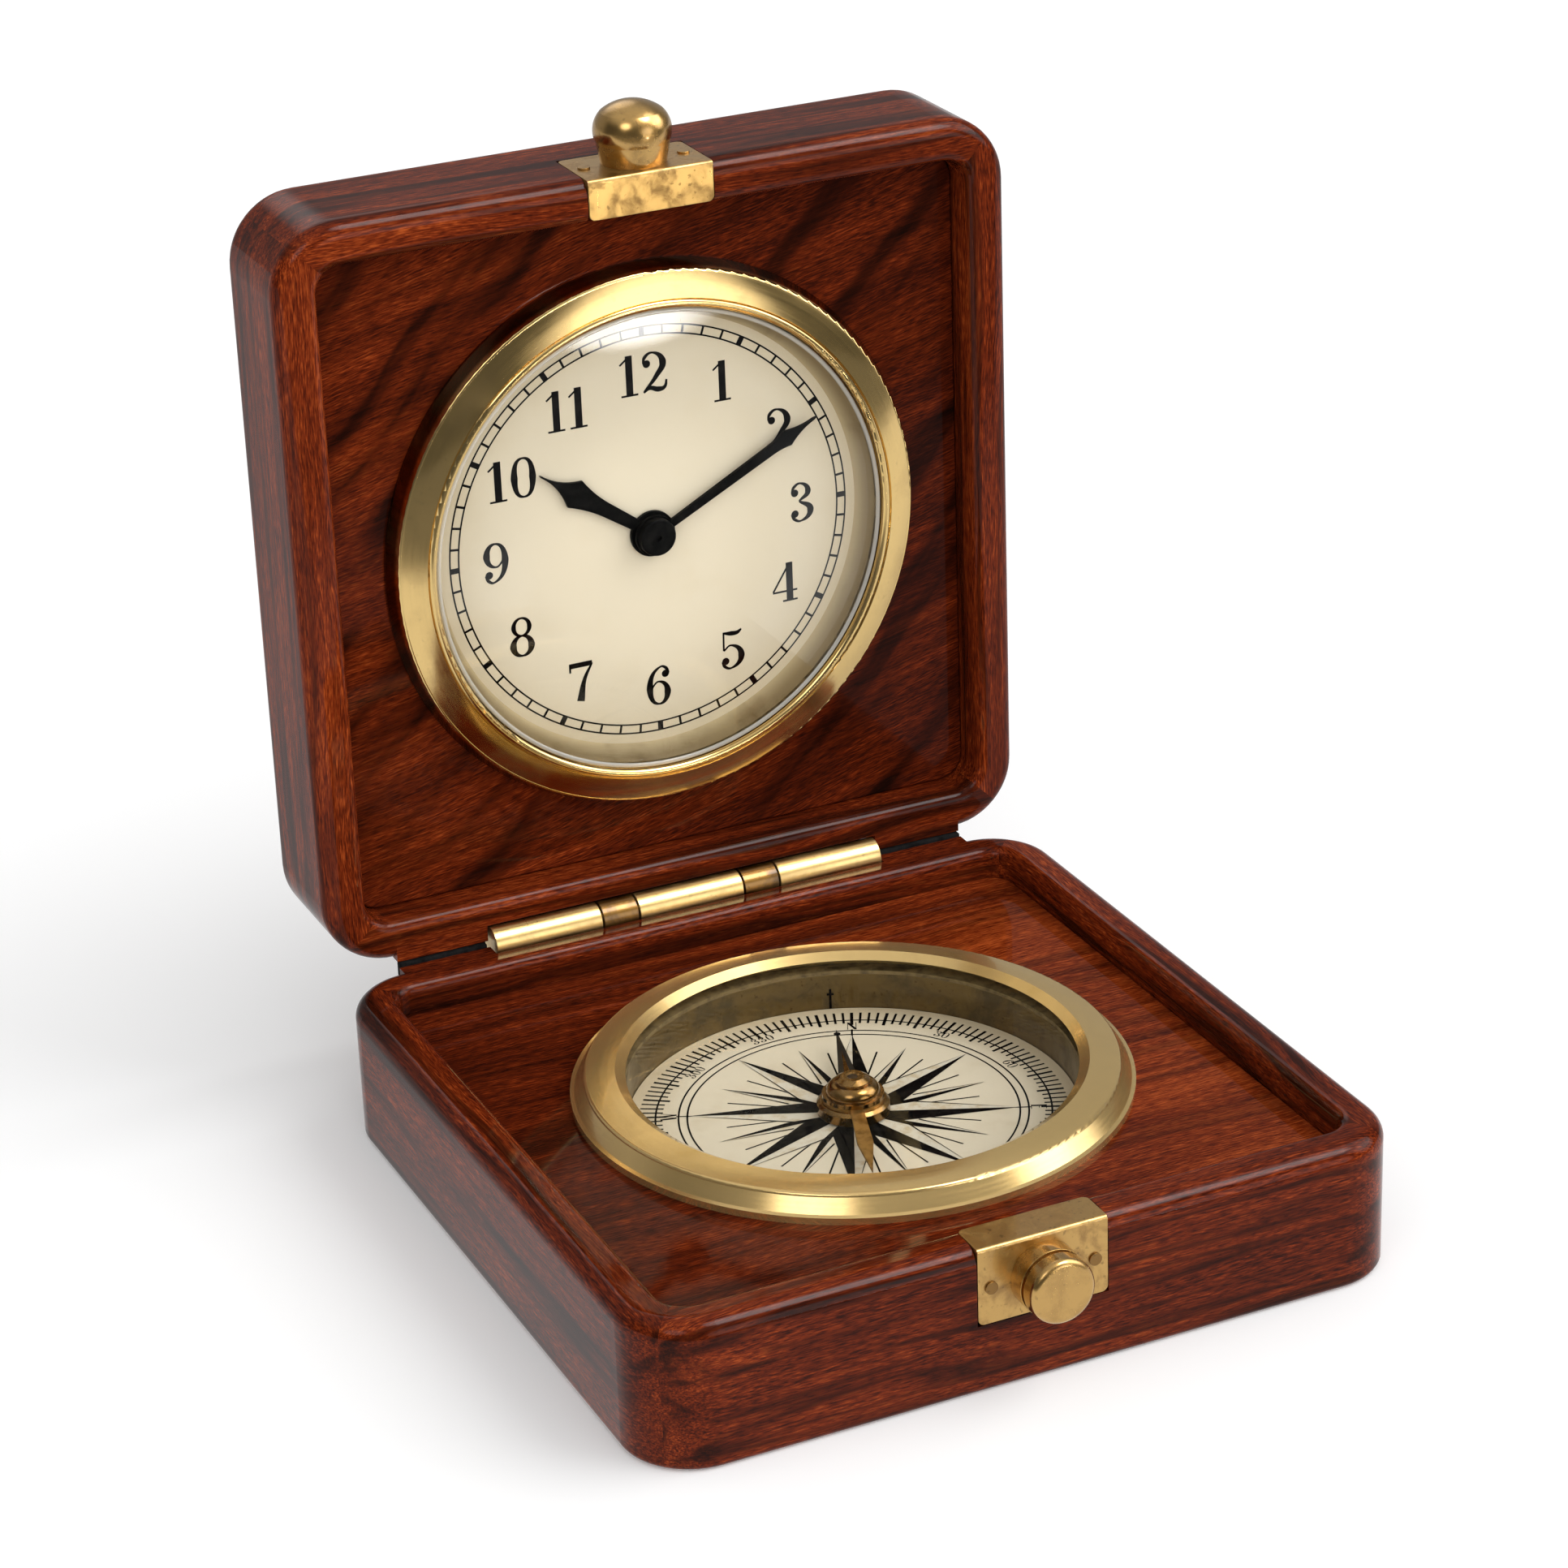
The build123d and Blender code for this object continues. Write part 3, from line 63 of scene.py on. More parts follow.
class Tone(Enum):
    """Colours of the object's surfaces, in sRGB steps of 0 to 255."""

    WOOD_BLACK = (13, 6, 4)
    WOOD_DARK = (48, 15, 7)
    WOOD_MID = (84, 28, 10)
    WOOD_RED = (114, 42, 15)
    WOOD_BRIGHT = (164, 74, 30)
    BRASS_BRIGHT = (228, 194, 126)
    BRASS_MID = (198, 158, 92)
    BRASS_DULL = (138, 101, 47)
    # Brass stain: real stain in specks and patina, and also painted shade on the clock bezel's outer wall and
    # in the needle cap's dimple
    BRASS_STAIN = (70, 48, 22)
    OLIVE = (122, 102, 64)
    OLIVE_DARK = (84, 69, 41)
    STEEL = (176, 178, 180)
    STEEL_DULL = (120, 122, 126)
    ENAMEL = (12, 12, 12)
    ENAMEL_WORN = (24, 23, 22)
    DIAL = (238, 224, 198)
    DIAL_EDGE = (222, 204, 170)
    # Wall: the dial's reflection painted onto the satin wall round the dial
    WALL = (208, 188, 148)
    WALL_EDGE = (112, 90, 50)
    CARD = (228, 214, 188)
    CARD_AGED = (202, 182, 148)
    INK = (13, 12, 12)
    INK_THIN = (30, 27, 25)
    PALE_INK = (220, 210, 190)
    # Glass edge: a painted glint on the polished bead round the clock's glass
    GLASS_EDGE = (214, 210, 200)
    RUBBER = (28, 28, 28)
    RUBBER_DUSTY = (46, 45, 44)
    PLASTIC = (224, 223, 217)
    PLASTIC_SHADE = (200, 199, 192)
    BOARD = (26, 98, 58)
    BOARD_TRACK = (44, 128, 74)
    COPPER = (196, 104, 52)
    COPPER_DARK = (128, 58, 26)
    FLOOR = (250, 250, 250)
    FLOOR_SHADE = (246, 246, 246)

    @property
    def linear(self) -> Colour:
        """The colour as Blender's linear RGBA."""
        steps = [step / 255 for step in self.value]
        return (*(s / 12.92 if s <= 0.04045 else ((s + 0.055) / 1.055) ** 2.4 for s in steps), 1.0)


class Signal:
    """One output socket of a node tree, with arithmetic that adds Math nodes behind it."""

    def __init__(self, tree: bpy.types.NodeTree, socket: Any = None) -> None:
        """Keeps the tree and the socket."""
        self.tree = tree
        self.socket = socket

    @staticmethod
    def _pick(sockets: Any, key: str | int) -> Any:
        """Finds a socket by its number, or by its name among those in use."""
        named = (socket for socket in sockets if socket.name == key and socket.enabled)
        return sockets[key] if isinstance(key, int) else next(named)

    def node(
        self,
        kind: str,
        settings: dict[str, Any] | None = None,
        inputs: dict[str | int, Any] | None = None,
        output: str | int = 0,
    ) -> "Signal":
        """Adds a node, sets it up and wires it.

        Args:
            kind: The node's type.
            settings: Its properties; "stops" gives a colour ramp's stops as (position, tone).
            inputs: Values or signals for its sockets, by name or number.
            output: The socket that is handed on.

        Returns:
            The chosen output.
        """
        made = self.tree.nodes.new(kind)
        for key, value in (settings or {}).items():
            if key == "stops":
                elements = made.color_ramp.elements
                while len(elements) < len(value):
                    elements.new(1.0)
                for element, (position, tone) in zip(elements, value):
                    element.position, element.color = position, tone.linear
            else:
                setattr(made, key, value)
        for key, value in (inputs or {}).items():
            socket = self._pick(made.inputs, key)
            if isinstance(value, Signal):
                self.tree.links.new(value.socket, socket)
            else:
                socket.default_value = value
        return Signal(self.tree, self._pick(made.outputs, output) if made.outputs else None)

    def maths(self, operation: str, *terms: "Signal | float") -> "Signal":
        """Adds one Math node on the given terms."""
        return self.node("ShaderNodeMath", {"operation": operation}, dict(enumerate(terms)))

    def __add__(self, other: "Signal | float") -> "Signal":
        """Sum."""
        return self.maths("ADD", self, other)

    __radd__ = __add__

    def __sub__(self, other: "Signal | float") -> "Signal":
        """Difference."""
        return self.maths("SUBTRACT", self, other)

    def __rsub__(self, other: float) -> "Signal":
        """Difference with a number on the left."""
        return self.maths("SUBTRACT", other, self)

    def __mul__(self, other: "Signal | float") -> "Signal":
        """Product."""
        return self.maths("MULTIPLY", self, other)

    def __truediv__(self, other: "Signal | float") -> "Signal":
        """Quotient."""
        return self.maths("DIVIDE", self, other)

    def __pow__(self, other: float) -> "Signal":
        """Power."""
        return self.maths("POWER", self, other)

    def __gt__(self, other: "Signal | float") -> "Signal":
        """1 where this is larger than the other, else 0."""
        return self.maths("GREATER_THAN", self, other)

    def __abs__(self) -> "Signal":
        """Size without the sign."""
        return self.maths("ABSOLUTE", self)

    def parts(self) -> tuple["Signal", "Signal", "Signal"]:
        """Splits a vector into its three numbers."""
        split = self.node("ShaderNodeSeparateXYZ", inputs={"Vector": self})
        outputs = split.socket.node.outputs
        return tuple(Signal(self.tree, outputs[i]) for i in range(3))

    def vector(self, x: "Signal | float", y: "Signal | float", z: "Signal | float") -> "Signal":
        """Joins three numbers into a vector."""
        return self.node("ShaderNodeCombineXYZ", inputs={0: x, 1: y, 2: z})

    def stretched(self, parts: Iterable["Signal"], sizes: Triple) -> "Signal":
        """Joins three numbers, each divided by its size, into a vector."""
        return self.vector(*(part / size for part, size in zip(parts, sizes)))

    def noise(
        self, scale: float = 1.0, detail: float = 3.0, roughness: float = 0.55, distortion: float = 0.0
    ) -> "Signal":
        """Soft noise of 0 to 1 over this vector."""
        values = {"Scale": scale, "Detail": detail, "Roughness": roughness, "Distortion": distortion}
        return self.node("ShaderNodeTexNoise", inputs={"Vector": self, **values})

    def step(self, low: float, high: float) -> "Signal":
        """Smooth step from 0 at one value to 1 at the other."""
        values = {"Value": self, "From Min": low, "From Max": high}
        return self.node("ShaderNodeMapRange", {"interpolation_type": "SMOOTHSTEP"}, values)

    def between(self, first: "Signal | Colour", second: "Signal | Colour") -> "Signal":
        """Colour that goes from the first to the second as this signal goes from 0 to 1."""
        values = {"Factor": self, "A": first, "B": second}
        return self.node("ShaderNodeMix", {"data_type": "RGBA"}, values, "Result")

    def bump(self, strength: float, distance: float, edge: float = 0.0) -> "Signal":
        """Normal that follows this signal as a height.

        Args:
            strength: Of the relief.
            distance: Its height in millimetres.
            edge: Radius that sharp edges are rounded to, in millimetres.

        Returns:
            The normal.
        """
        values = {"Strength": strength, "Distance": distance * MM, "Height": self}
        if edge:
            values["Normal"] = self.node("ShaderNodeBevel", {"samples": 6}, {"Radius": edge * MM})
        return self.node("ShaderNodeBump", inputs=values, output="Normal")

    def rays(self, *kinds: str) -> list["Signal"]:
        """For each kind of ray, a signal of 1 on such rays and 0 on others."""
        return [self.node("ShaderNodeLightPath", output=f"Is {kind} Ray") for kind in kinds]


@dataclass(frozen=True)
class Finish:
    """A surface finish. It paints one material, which it keeps under its own name."""

    name: str

    def material(self) -> bpy.types.Material:
        """Finds the finish's material, or makes it at the first use.

        Returns:
            The material.
        """
        found = bpy.data.materials.get(self.name)
        if found:
            return found
        made = bpy.data.materials.new(self.name)
        made.use_nodes = True
        made.node_tree.nodes.clear()
        start = Signal(made.node_tree)
        place = start.node("ShaderNodeTexCoord", output="Object")
        grown = {"Vector": place, "Scale": 1 / MM}
        scaled = start.node("ShaderNodeVectorMath", {"operation": "SCALE"}, grown)
        start.node("ShaderNodeOutputMaterial", inputs={"Surface": self.paint(scaled)})
        return made

    def paint(self, place: Signal) -> Signal:
        """Builds the shader.

        Args:
            place: The point on the piece in millimetres, in the box's own frame.

        Returns:
            The shader.
        """
        raise NotImplementedError


class Grain(Enum):
    """How a wooden piece's grain runs."""

    PLAIN = "along the width"
    MITRED = "along each wall, mitred at the corners"
    FIGURED = "along the width, with dark figure across it"


@dataclass(frozen=True)
class Rosewood(Finish):
    """Dark red-brown wood with near-black streaks and open pores under a gloss lacquer.

    Sizes run along and across the grain, in millimetres. Limits are where a noise starts and is full.
    """

    grain: Grain
    upright_centre: float | None = None
    seed: float = 0.0
    lift: float = 0.0
    drift: float = 0.0
    dark_streaks: float = 0.88
    lacquer: float = 1.2
    base_tone: float = -0.135
    tone_stops: tuple[float, ...] = (0.34, 0.45, 0.55, 0.68)
    mitre_shift: float = 41.0
    sway: float = 6.0
    sway_size: Pair = (45.0, 30.0)
    streak_size: Pair = (55.0, 4.6)
    dark_size: Pair = (77.0, 2.852)
    line_size: Pair = (22.0, 0.8)
    fibre_size: Pair = (1.9, 0.2)
    pore_size: Pair = (2.6, 0.15)
    dark_limits: Pair = (0.6, 0.76)
    pore_limits: Pair = (0.6, 0.72)
    pore_depth: float = 0.45
    fray: float = 0.25
    darkest: float = 0.92
    fibre_angle: float = 14.0
    figure_angle: float = 46.0
    figure_limits: tuple[Pair, Pair] = ((0.58, 0.74), (0.68, 0.78))
    figure_depth: float = 0.38
    figure_streaks: float = 0.3
    bend: float = 9.0
    bend_size: Triple = (40.0, 30.0, 60.0)
    flame_size: Triple = (52.0, 6.0, 30.0)

    @staticmethod
    def _turned(along: Signal, over: Signal, degrees: float) -> tuple[Signal, Signal]:
        """Two directions across each other, turned by an angle."""
        cosine, sine = cos(radians(degrees)), sin(radians(degrees))
        return along * cosine + over * sine, over * cosine - along * sine

    def paint(self, place: Signal) -> Signal:
        """Builds the shader (see Finish)."""
        x, y, z = place.parts()
        along = x
        over, depth = (y, z) if self.upright_centre is None else (z - self.upright_centre, y)

        def grained(size: Pair, *kind: float) -> Signal:
            """Noise stretched along the grain as it runs so far, of a detail, roughness and distortion."""
            return place.stretched((along, over, depth), (*size, size[1])).noise(1.0, *kind)

        if self.grain is Grain.MITRED:
            side = abs(x) > abs(over)
            along, over = x + side * (over - x), over + side * (x - over) + side * self.mitre_shift
        over, depth = over + grained(self.sway_size, 1.0) * self.sway, depth + self.seed
        flat_along, flat_over = along, over
        if self.grain is Grain.FIGURED:
            along, over = self._turned(along, over, self.fibre_angle)
        streak = grained(self.streak_size, 4.0, 0.6, 0.3)
        lines = grained(self.line_size, 3.0, 0.6)
        dark = grained(self.dark_size, 5.0, 0.62, 0.5)
        fibres = grained(self.fibre_size, 2.0, 0.6)
        pores = grained(self.pore_size, 1.0)
        # The drift shifts the tone along x; on the lid's panel this is painted shade
        tone = streak * 0.32 + lines * 0.22 + fibres * 0.66 + x * self.drift + (self.lift + self.base_tone)
        tones = (Tone.WOOD_DARK, Tone.WOOD_MID, Tone.WOOD_RED, Tone.WOOD_BRIGHT)
        stops = tuple(zip(self.tone_stops, tones))
        colour = place.node("ShaderNodeValToRGB", {"stops": stops}, {"Fac": tone}, "Color")
        shade = (dark + fibres * self.fray).step(*self.dark_limits) * self.dark_streaks
        if self.grain is Grain.FIGURED:
            u, v = self._turned(flat_along, flat_over, self.figure_angle)
            bend = place.stretched((u, v, depth), self.bend_size).noise(detail=2.0) * self.bend
            flame = place.stretched((u, v + bend, depth), self.flame_size).noise(detail=3.0, roughness=0.5)
            band = flame + fibres * self.fray
            shade = shade * self.figure_streaks
            for limits in self.figure_limits:
                shade = shade + band.step(*limits) * self.figure_depth
        shade = shade.maths("MINIMUM", shade, self.darkest)
        for share in (shade, pores.step(*self.pore_limits) * self.pore_depth):
            colour = share.between(colour, Tone.WOOD_BLACK.linear)
        values = {
            "Base Color": colour,
            "Roughness": 0.36 + pores * 0.2,
            "Normal": (pores * -1.0).bump(0.12, 0.05),
            "Specular IOR Level": 0.0,
            "Coat Weight": 1.0,
            "Coat Roughness": 0.05,
            "Coat IOR": self.lacquer,
        }
        return place.node("ShaderNodeBsdfPrincipled", inputs=values)


class Turning(Enum):
    """Which axis a brass piece was turned about."""

    NONE = "not turned"
    COMPASS = "the compass's upright axis"
    CLOCK = "the clock's level axis"


@dataclass(frozen=True)
class Brass(Finish):
    """Brass with patina in soft patches, and fine tool lines where it was turned."""

    turning: Turning = Turning.NONE
    clock_height: float = 0.0
    bright: Tone = Tone.BRASS_BRIGHT
    dull: Tone = Tone.BRASS_DULL
    patina: float = 0.35
    polish: float = 0.2
    patch: float = 5.0
    speck: float = 0.7
    edge: float = 0.15
    # Radius beyond which the outer wall is painted dark, as painted shade and painted reflection; 0 for none
    wall: float = 0.0
    wall_fade: float = 0.3
    satin: float = 0.0
    tool_pitch: float = 0.4
    drawn_length: float = 6.0

    def paint(self, place: Signal) -> Signal:
        """Builds the shader (see Finish)."""
        x, y, z = place.parts()
        if self.turning is Turning.NONE:
            across, run = x, (y / self.drawn_length, z / self.drawn_length)
        else:
            other, level = (y, z) if self.turning is Turning.COMPASS else (z - self.clock_height, y)
            across, run = (x * x + other * other) ** 0.5, (level / self.tool_pitch, 0.0)
        lines = place.vector(across / self.tool_pitch, *run).noise(detail=0.0)
        patches = place.noise(1 / self.patch, 5.0, 0.62, 0.4)
        specks = place.noise(1 / self.speck, 2.0)
        stain = patches.step(0.42, 0.68) * self.patina
        colour = stain.between(self.bright.linear, self.dull.linear)
        colour = (specks.step(0.62, 0.74) * self.patina * 0.6).between(colour, Tone.BRASS_STAIN.linear)
        # Beyond the wall radius the colour darkens: painted shade and a painted reflection of the dark wood
        # on the bezel's outer wall
        if self.wall:
            painted_wall_shade = across.step(self.wall, self.wall + self.wall_fade)
            colour = (painted_wall_shade * 0.9).between(colour, Tone.BRASS_STAIN.linear)
        values = {
            "Base Color": colour,
            "Metallic": (1.0 - self.satin) - stain * 0.35,
            "Roughness": self.polish + stain * 0.25 + lines * 0.08,
            "Normal": lines.bump(0.01, 0.01, self.edge),
            "Coat Weight": 0.5,
            "Coat Roughness": 0.05,
        }
        return place.node("ShaderNodeBsdfPrincipled", inputs=values)


DARK_BRASS: dict[str, Any] = {"bright": Tone.BRASS_DULL, "dull": Tone.BRASS_STAIN}
TURNED: dict[str, Any] = {"patch": 9.0, "edge": 0.0}


@dataclass(frozen=True)
class Plain(Finish):
    """One material with a soft second tone in it: steel, enamel, ink, rubber, plastic and the like."""

    tone: Tone
    second: Tone
    roughness: float = 0.5
    metallic: float = 0.0
    mottle: float = 1.5
    relief: float = 0.02
    sheen: float = 0.5

    def paint(self, place: Signal) -> Signal:
        """Builds the shader (see Finish)."""
        patches = place.noise(1 / self.mottle, 4.0, 0.6)
        values = {
            "Base Color": patches.step(0.4, 0.7).between(self.tone.linear, self.second.linear),
            "Metallic": self.metallic,
            "Roughness": self.roughness + patches * 0.12,
            "Normal": place.noise(1 / 0.3, 2.0).bump(0.1, self.relief),
            "Specular IOR Level": self.sheen,
        }
        return place.node("ShaderNodeBsdfPrincipled", inputs=values)


BLACK_INK = Plain("black printing ink", Tone.INK, Tone.INK_THIN, 0.6, sheen=0.0)
BLACK_ENAMEL = Plain("black enamel", Tone.ENAMEL, Tone.ENAMEL_WORN, 0.4, sheen=0.05)


@dataclass(frozen=True)
class PaleDisc(Finish):
    """A pale printed disc that darkens towards its rim, with faint stains."""

    middle: Tone
    rim: Tone
    centre: Triple
    radius: float
    stain: float = 0.25
    start: float = 0.72
    end: float = 1.02

    def paint(self, place: Signal) -> Signal:
        """Builds the shader (see Finish)."""
        moved = place.node("ShaderNodeVectorMath", {"operation": "SUBTRACT"}, {0: place, 1: self.centre})
        length = moved.node("ShaderNodeVectorMath", {"operation": "LENGTH"}, {0: moved}, "Value")
        stains = place.noise(1 / 9.0, 5.0, 0.62)
        fibres = place.noise(1 / 0.35, 3.0)
        edge = (length / self.radius).step(self.start, self.end) * 0.8 + stains.step(0.5, 0.75) * self.stain
        colour = edge.maths("MINIMUM", edge, 1.0).between(self.middle.linear, self.rim.linear)
        values = {
            "Base Color": colour,
            "Roughness": 0.55 + fibres * 0.15,
            "Normal": fibres.bump(0.08, 0.02),
        }
        return place.node("ShaderNodeBsdfPrincipled", inputs=values)


@dataclass(frozen=True)
class PointerEnamel(Finish):
    """Black enamel on the half of the needle that points north, bare brass on its tail."""

    heading: float

    def paint(self, place: Signal) -> Signal:
        """Builds the shader (see Finish)."""
        x, y, _ = place.parts()
        north = (y * cos(self.heading) - x * sin(self.heading)).step(-0.2, 0.2)
        patches = place.noise(1 / 1.6, 4.0)
        brass = patches.step(0.4, 0.7).between(Tone.BRASS_MID.linear, Tone.BRASS_DULL.linear)
        values = {
            "Base Color": north.between(brass, Tone.ENAMEL.linear),
            "Metallic": 1.0 - north,
            "Roughness": 0.3 + patches * 0.15,
            "Normal": patches.bump(0.08, 0.02),
        }
        return place.node("ShaderNodeBsdfPrincipled", inputs=values)


@dataclass(frozen=True)
class ClearGlass(Finish):
    """Thin clear glass: what is behind it shows straight through, and it mirrors at its own angle.

    With calm_height, the height of its middle, an upright pane mirrors at its rim alone.
    """

    mirror: float = 0.5
    haze: float = 0.0
    calm_height: float | None = None
    calm_radius: float = 14.0
    rim_radius: float = 21.0
    ior: float = 1.45
    smear: float = 14.0
    tint: Colour = (0.985, 0.99, 0.985, 1.0)

    def paint(self, place: Signal) -> Signal:
        """Builds the shader (see Finish)."""
        smears = place.noise(1 / self.smear, 3.0).step(0.35, 0.8)
        angle = place.node("ShaderNodeFresnel", inputs={"IOR": self.ior})
        clear = place.node("ShaderNodeBsdfTransparent", inputs={"Color": self.tint})
        gloss = place.node("ShaderNodeBsdfAnisotropic", inputs={"Color": WHITE, "Roughness": 0.02})
        share = angle * (smears * 0.4 + 0.8) * self.mirror
        if self.calm_height is not None:
            x, _, z = place.parts()
            up = z - self.calm_height
            share = share * (x * x + up * up).step(self.calm_radius**2, self.rim_radius**2)
        # A pale diffuse share mixed into the glass is a painted glint
        if self.haze:
            pale = place.node("ShaderNodeBsdfDiffuse", inputs={"Color": Tone.GLASS_EDGE.linear})
            clear = place.node("ShaderNodeMixShader", inputs={0: self.haze, 1: clear, 2: pale})
        return place.node("ShaderNodeMixShader", inputs={0: share, 1: clear, 2: gloss})


@dataclass(frozen=True)
class PaperFloor(Finish):
    """White paper that takes the shadow. Gloss sees it end in a dim room, with a bright card far in front."""

    lift: float = 0.12
    sheet: float = 120.0
    sheet_end: float = 180.0
    dim: float = 0.8
    behind: float = 0.6
    behind_edge: Pair = (-20.0, 80.0)
    patch: float = 160.0
    card_centre: Pair = (186.0, -470.0)
    card_core: float = 30.0
    card_radius: float = 75.0
    card_glow: float = 42.0

    def paint(self, place: Signal) -> Signal:
        """Builds the shader (see Finish)."""
        x, y, _ = place.parts()
        near = 1.0 - (y * -1.0).step(self.sheet, self.sheet_end) * self.dim
        bright = near + y.step(*self.behind_edge) * (self.behind - near)
        patches = place.noise(1 / self.patch, 2.0)
        colour = patches.between(Tone.FLOOR.linear, Tone.FLOOR_SHADE.linear)
        paper = place.node("ShaderNodeBsdfDiffuse", inputs={"Color": colour})
        camera, gloss, glass = place.rays("Camera", "Glossy", "Transmission")
        glow = place.node("ShaderNodeEmission", inputs={"Color": Tone.FLOOR.linear, "Strength": self.lift})
        lifted = place.node("ShaderNodeAddShader", inputs={0: paper, 1: glow})
        seen = place.node("ShaderNodeMixShader", inputs={0: camera + glass, 1: paper, 2: lifted})
        aside, ahead = x - self.card_centre[0], y - self.card_centre[1]
        card = 1.0 - (aside * aside + ahead * ahead).step(self.card_core**2, self.card_radius**2)
        lamp = (self.card_glow, self.card_glow, self.card_glow, 1.0)
        shown = card.between(bright.between(BLACK, Tone.FLOOR.linear), lamp)
        image = place.node("ShaderNodeEmission", inputs={"Color": shown})
        return place.node("ShaderNodeMixShader", inputs={0: gloss, 1: seen, 2: image})


class Body(Enum):
    """The moving bodies that pieces ride on."""

    BASE = "base"
    LID = "lid"
    NEEDLE = "compass_needle"


@dataclass(frozen=True)
class FlatFace:
    """A flat face that marks are printed on, in millimetres.

    The marks are drawn with x to the right and y towards 12 o'clock or north.
    """

    origin: Vector
    upright: bool
    turn: float = 0.0

    def matrix(self) -> Matrix:
        """Where a mark drawn in millimetres goes, in metres."""
        stand = Matrix.Rotation(pi / 2 if self.upright else 0.0, 4, "X")
        place = Matrix.Translation(self.origin) @ Matrix.Rotation(self.turn, 4, "Z")
        return place @ stand @ Matrix.Scale(MM, 4)


@dataclass(frozen=True)
class Glyph:
    """One character in pen strokes, in hundredths of its height.

    A stroke is a row of points (x, y, half width); a point without a half width is on a hairline.
    """

    width: float
    curves: tuple[Stroke, ...] = ()
    lines: tuple[Stroke, ...] = ()
    loops: tuple[Stroke, ...] = ()
    balls: tuple[Pair, ...] = ()


BALL = 9.5
HAIR = 2.4
STEM = 8.8
LETTER_GAP = 10

# Upright serif figures and letters with thick stems and hairlines
GLYPHS: dict[str, Glyph] = {
    "0": Glyph(66, loops=(((10, 50, STEM), (33, 97.6), (56, 50, STEM), (33, 2.4)),)),
    "1": Glyph(46, lines=(((25, 0, STEM), (25, 100, STEM)), ((3, 2.4), (46, 2.4)), ((2, 79), (25, 97)))),
    "2": Glyph(
        66,
        curves=(
            ((5, 73), (10, 89, 4.5), (30, 97.6), (55, 72, STEM), (38, 40, 6), (5, 5)),
            ((4, 3), (19, 12, 5), (42, 6, 6.5), (57, 9, 4.5), (63, 27)),
        ),
        balls=((14, 72),),
    ),
    "3": Glyph(
        64,
        curves=(
            ((6, 76), (12, 90, 4), (30, 97.6), (49, 76, 7.8), (25, 53)),
            ((25, 53), (54, 28, STEM), (29, 2.4), (11, 9, 4), (4, 22)),
        ),
        balls=((14, 75), (13, 22)),
    ),
    "4": Glyph(
        68,
        lines=(
            ((47, 0, STEM), (47, 100, STEM)),
            ((47, 97), (3, 29)),
            ((2, 27), (67, 27)),
            ((28, 2.4), (67, 2.4)),
        ),
    ),
    "5": Glyph(
        64,
        lines=(((10, 98), (9, 50)),),
        curves=(
            ((8, 96), (30, 92, 6), (46, 92, 5), (57, 99)),
            ((9, 50), (29, 61), (55, 32, STEM), (28, 2.4), (10, 9, 4), (4, 22)),
        ),
        balls=((13, 22),),
    ),
    "6": Glyph(
        66,
        curves=(
            (
                *((61, 78), (54, 92, 4), (40, 97.6), (10, 45, STEM)),
                *((33, 2.4), (56, 31, STEM), (35, 60), (13, 44)),
            ),
        ),
        balls=((52, 78),),
    ),
    "7": Glyph(
        64,
        lines=(((3, 93, 6.5), (61, 93, 6.5)), ((4, 99), (4, 76))),
        curves=(((61, 93), (40, 55, 5), (27, 0, 10)),),
    ),
    "8": Glyph(
        66,
        loops=(
            ((13, 75, 6), (33, 97.6), (53, 75, 6), (33, 53)),
            ((10, 27, STEM), (33, 53), (56, 27, STEM), (33, 2.4)),
        ),
    ),
    "9": Glyph(
        66,
        curves=(
            (
                *((5, 22), (12, 8, 4), (26, 2.4), (56, 55, STEM)),
                *((33, 97.6), (10, 69, STEM), (31, 40), (53, 56)),
            ),
        ),
        balls=((14, 22),),
    ),
    "N": Glyph(70, lines=(((8, 0), (8, 100)), ((10, 95, STEM), (60, 5, STEM)), ((62, 0), (62, 100)))),
    "E": Glyph(
        62,
        lines=(
            ((14, 0, STEM), (14, 100, STEM)),
            ((4, 97), (56, 97)),
            ((14, 52), (44, 52)),
            ((4, 3), (58, 3)),
        ),
    ),
    "S": Glyph(
        60,
        curves=(((52, 76), (31, 97.6), (11, 76, 6), (31, 52, STEM), (51, 25, 6), (28, 2.4), (6, 24)),),
    ),
    "W": Glyph(
        90,
        lines=(
            ((6, 100, STEM), (27, 0, STEM)),
            ((27, 0), (45, 100)),
            ((45, 100, STEM), (66, 0, STEM)),
            ((66, 0), (84, 100)),
        ),
    ),
}


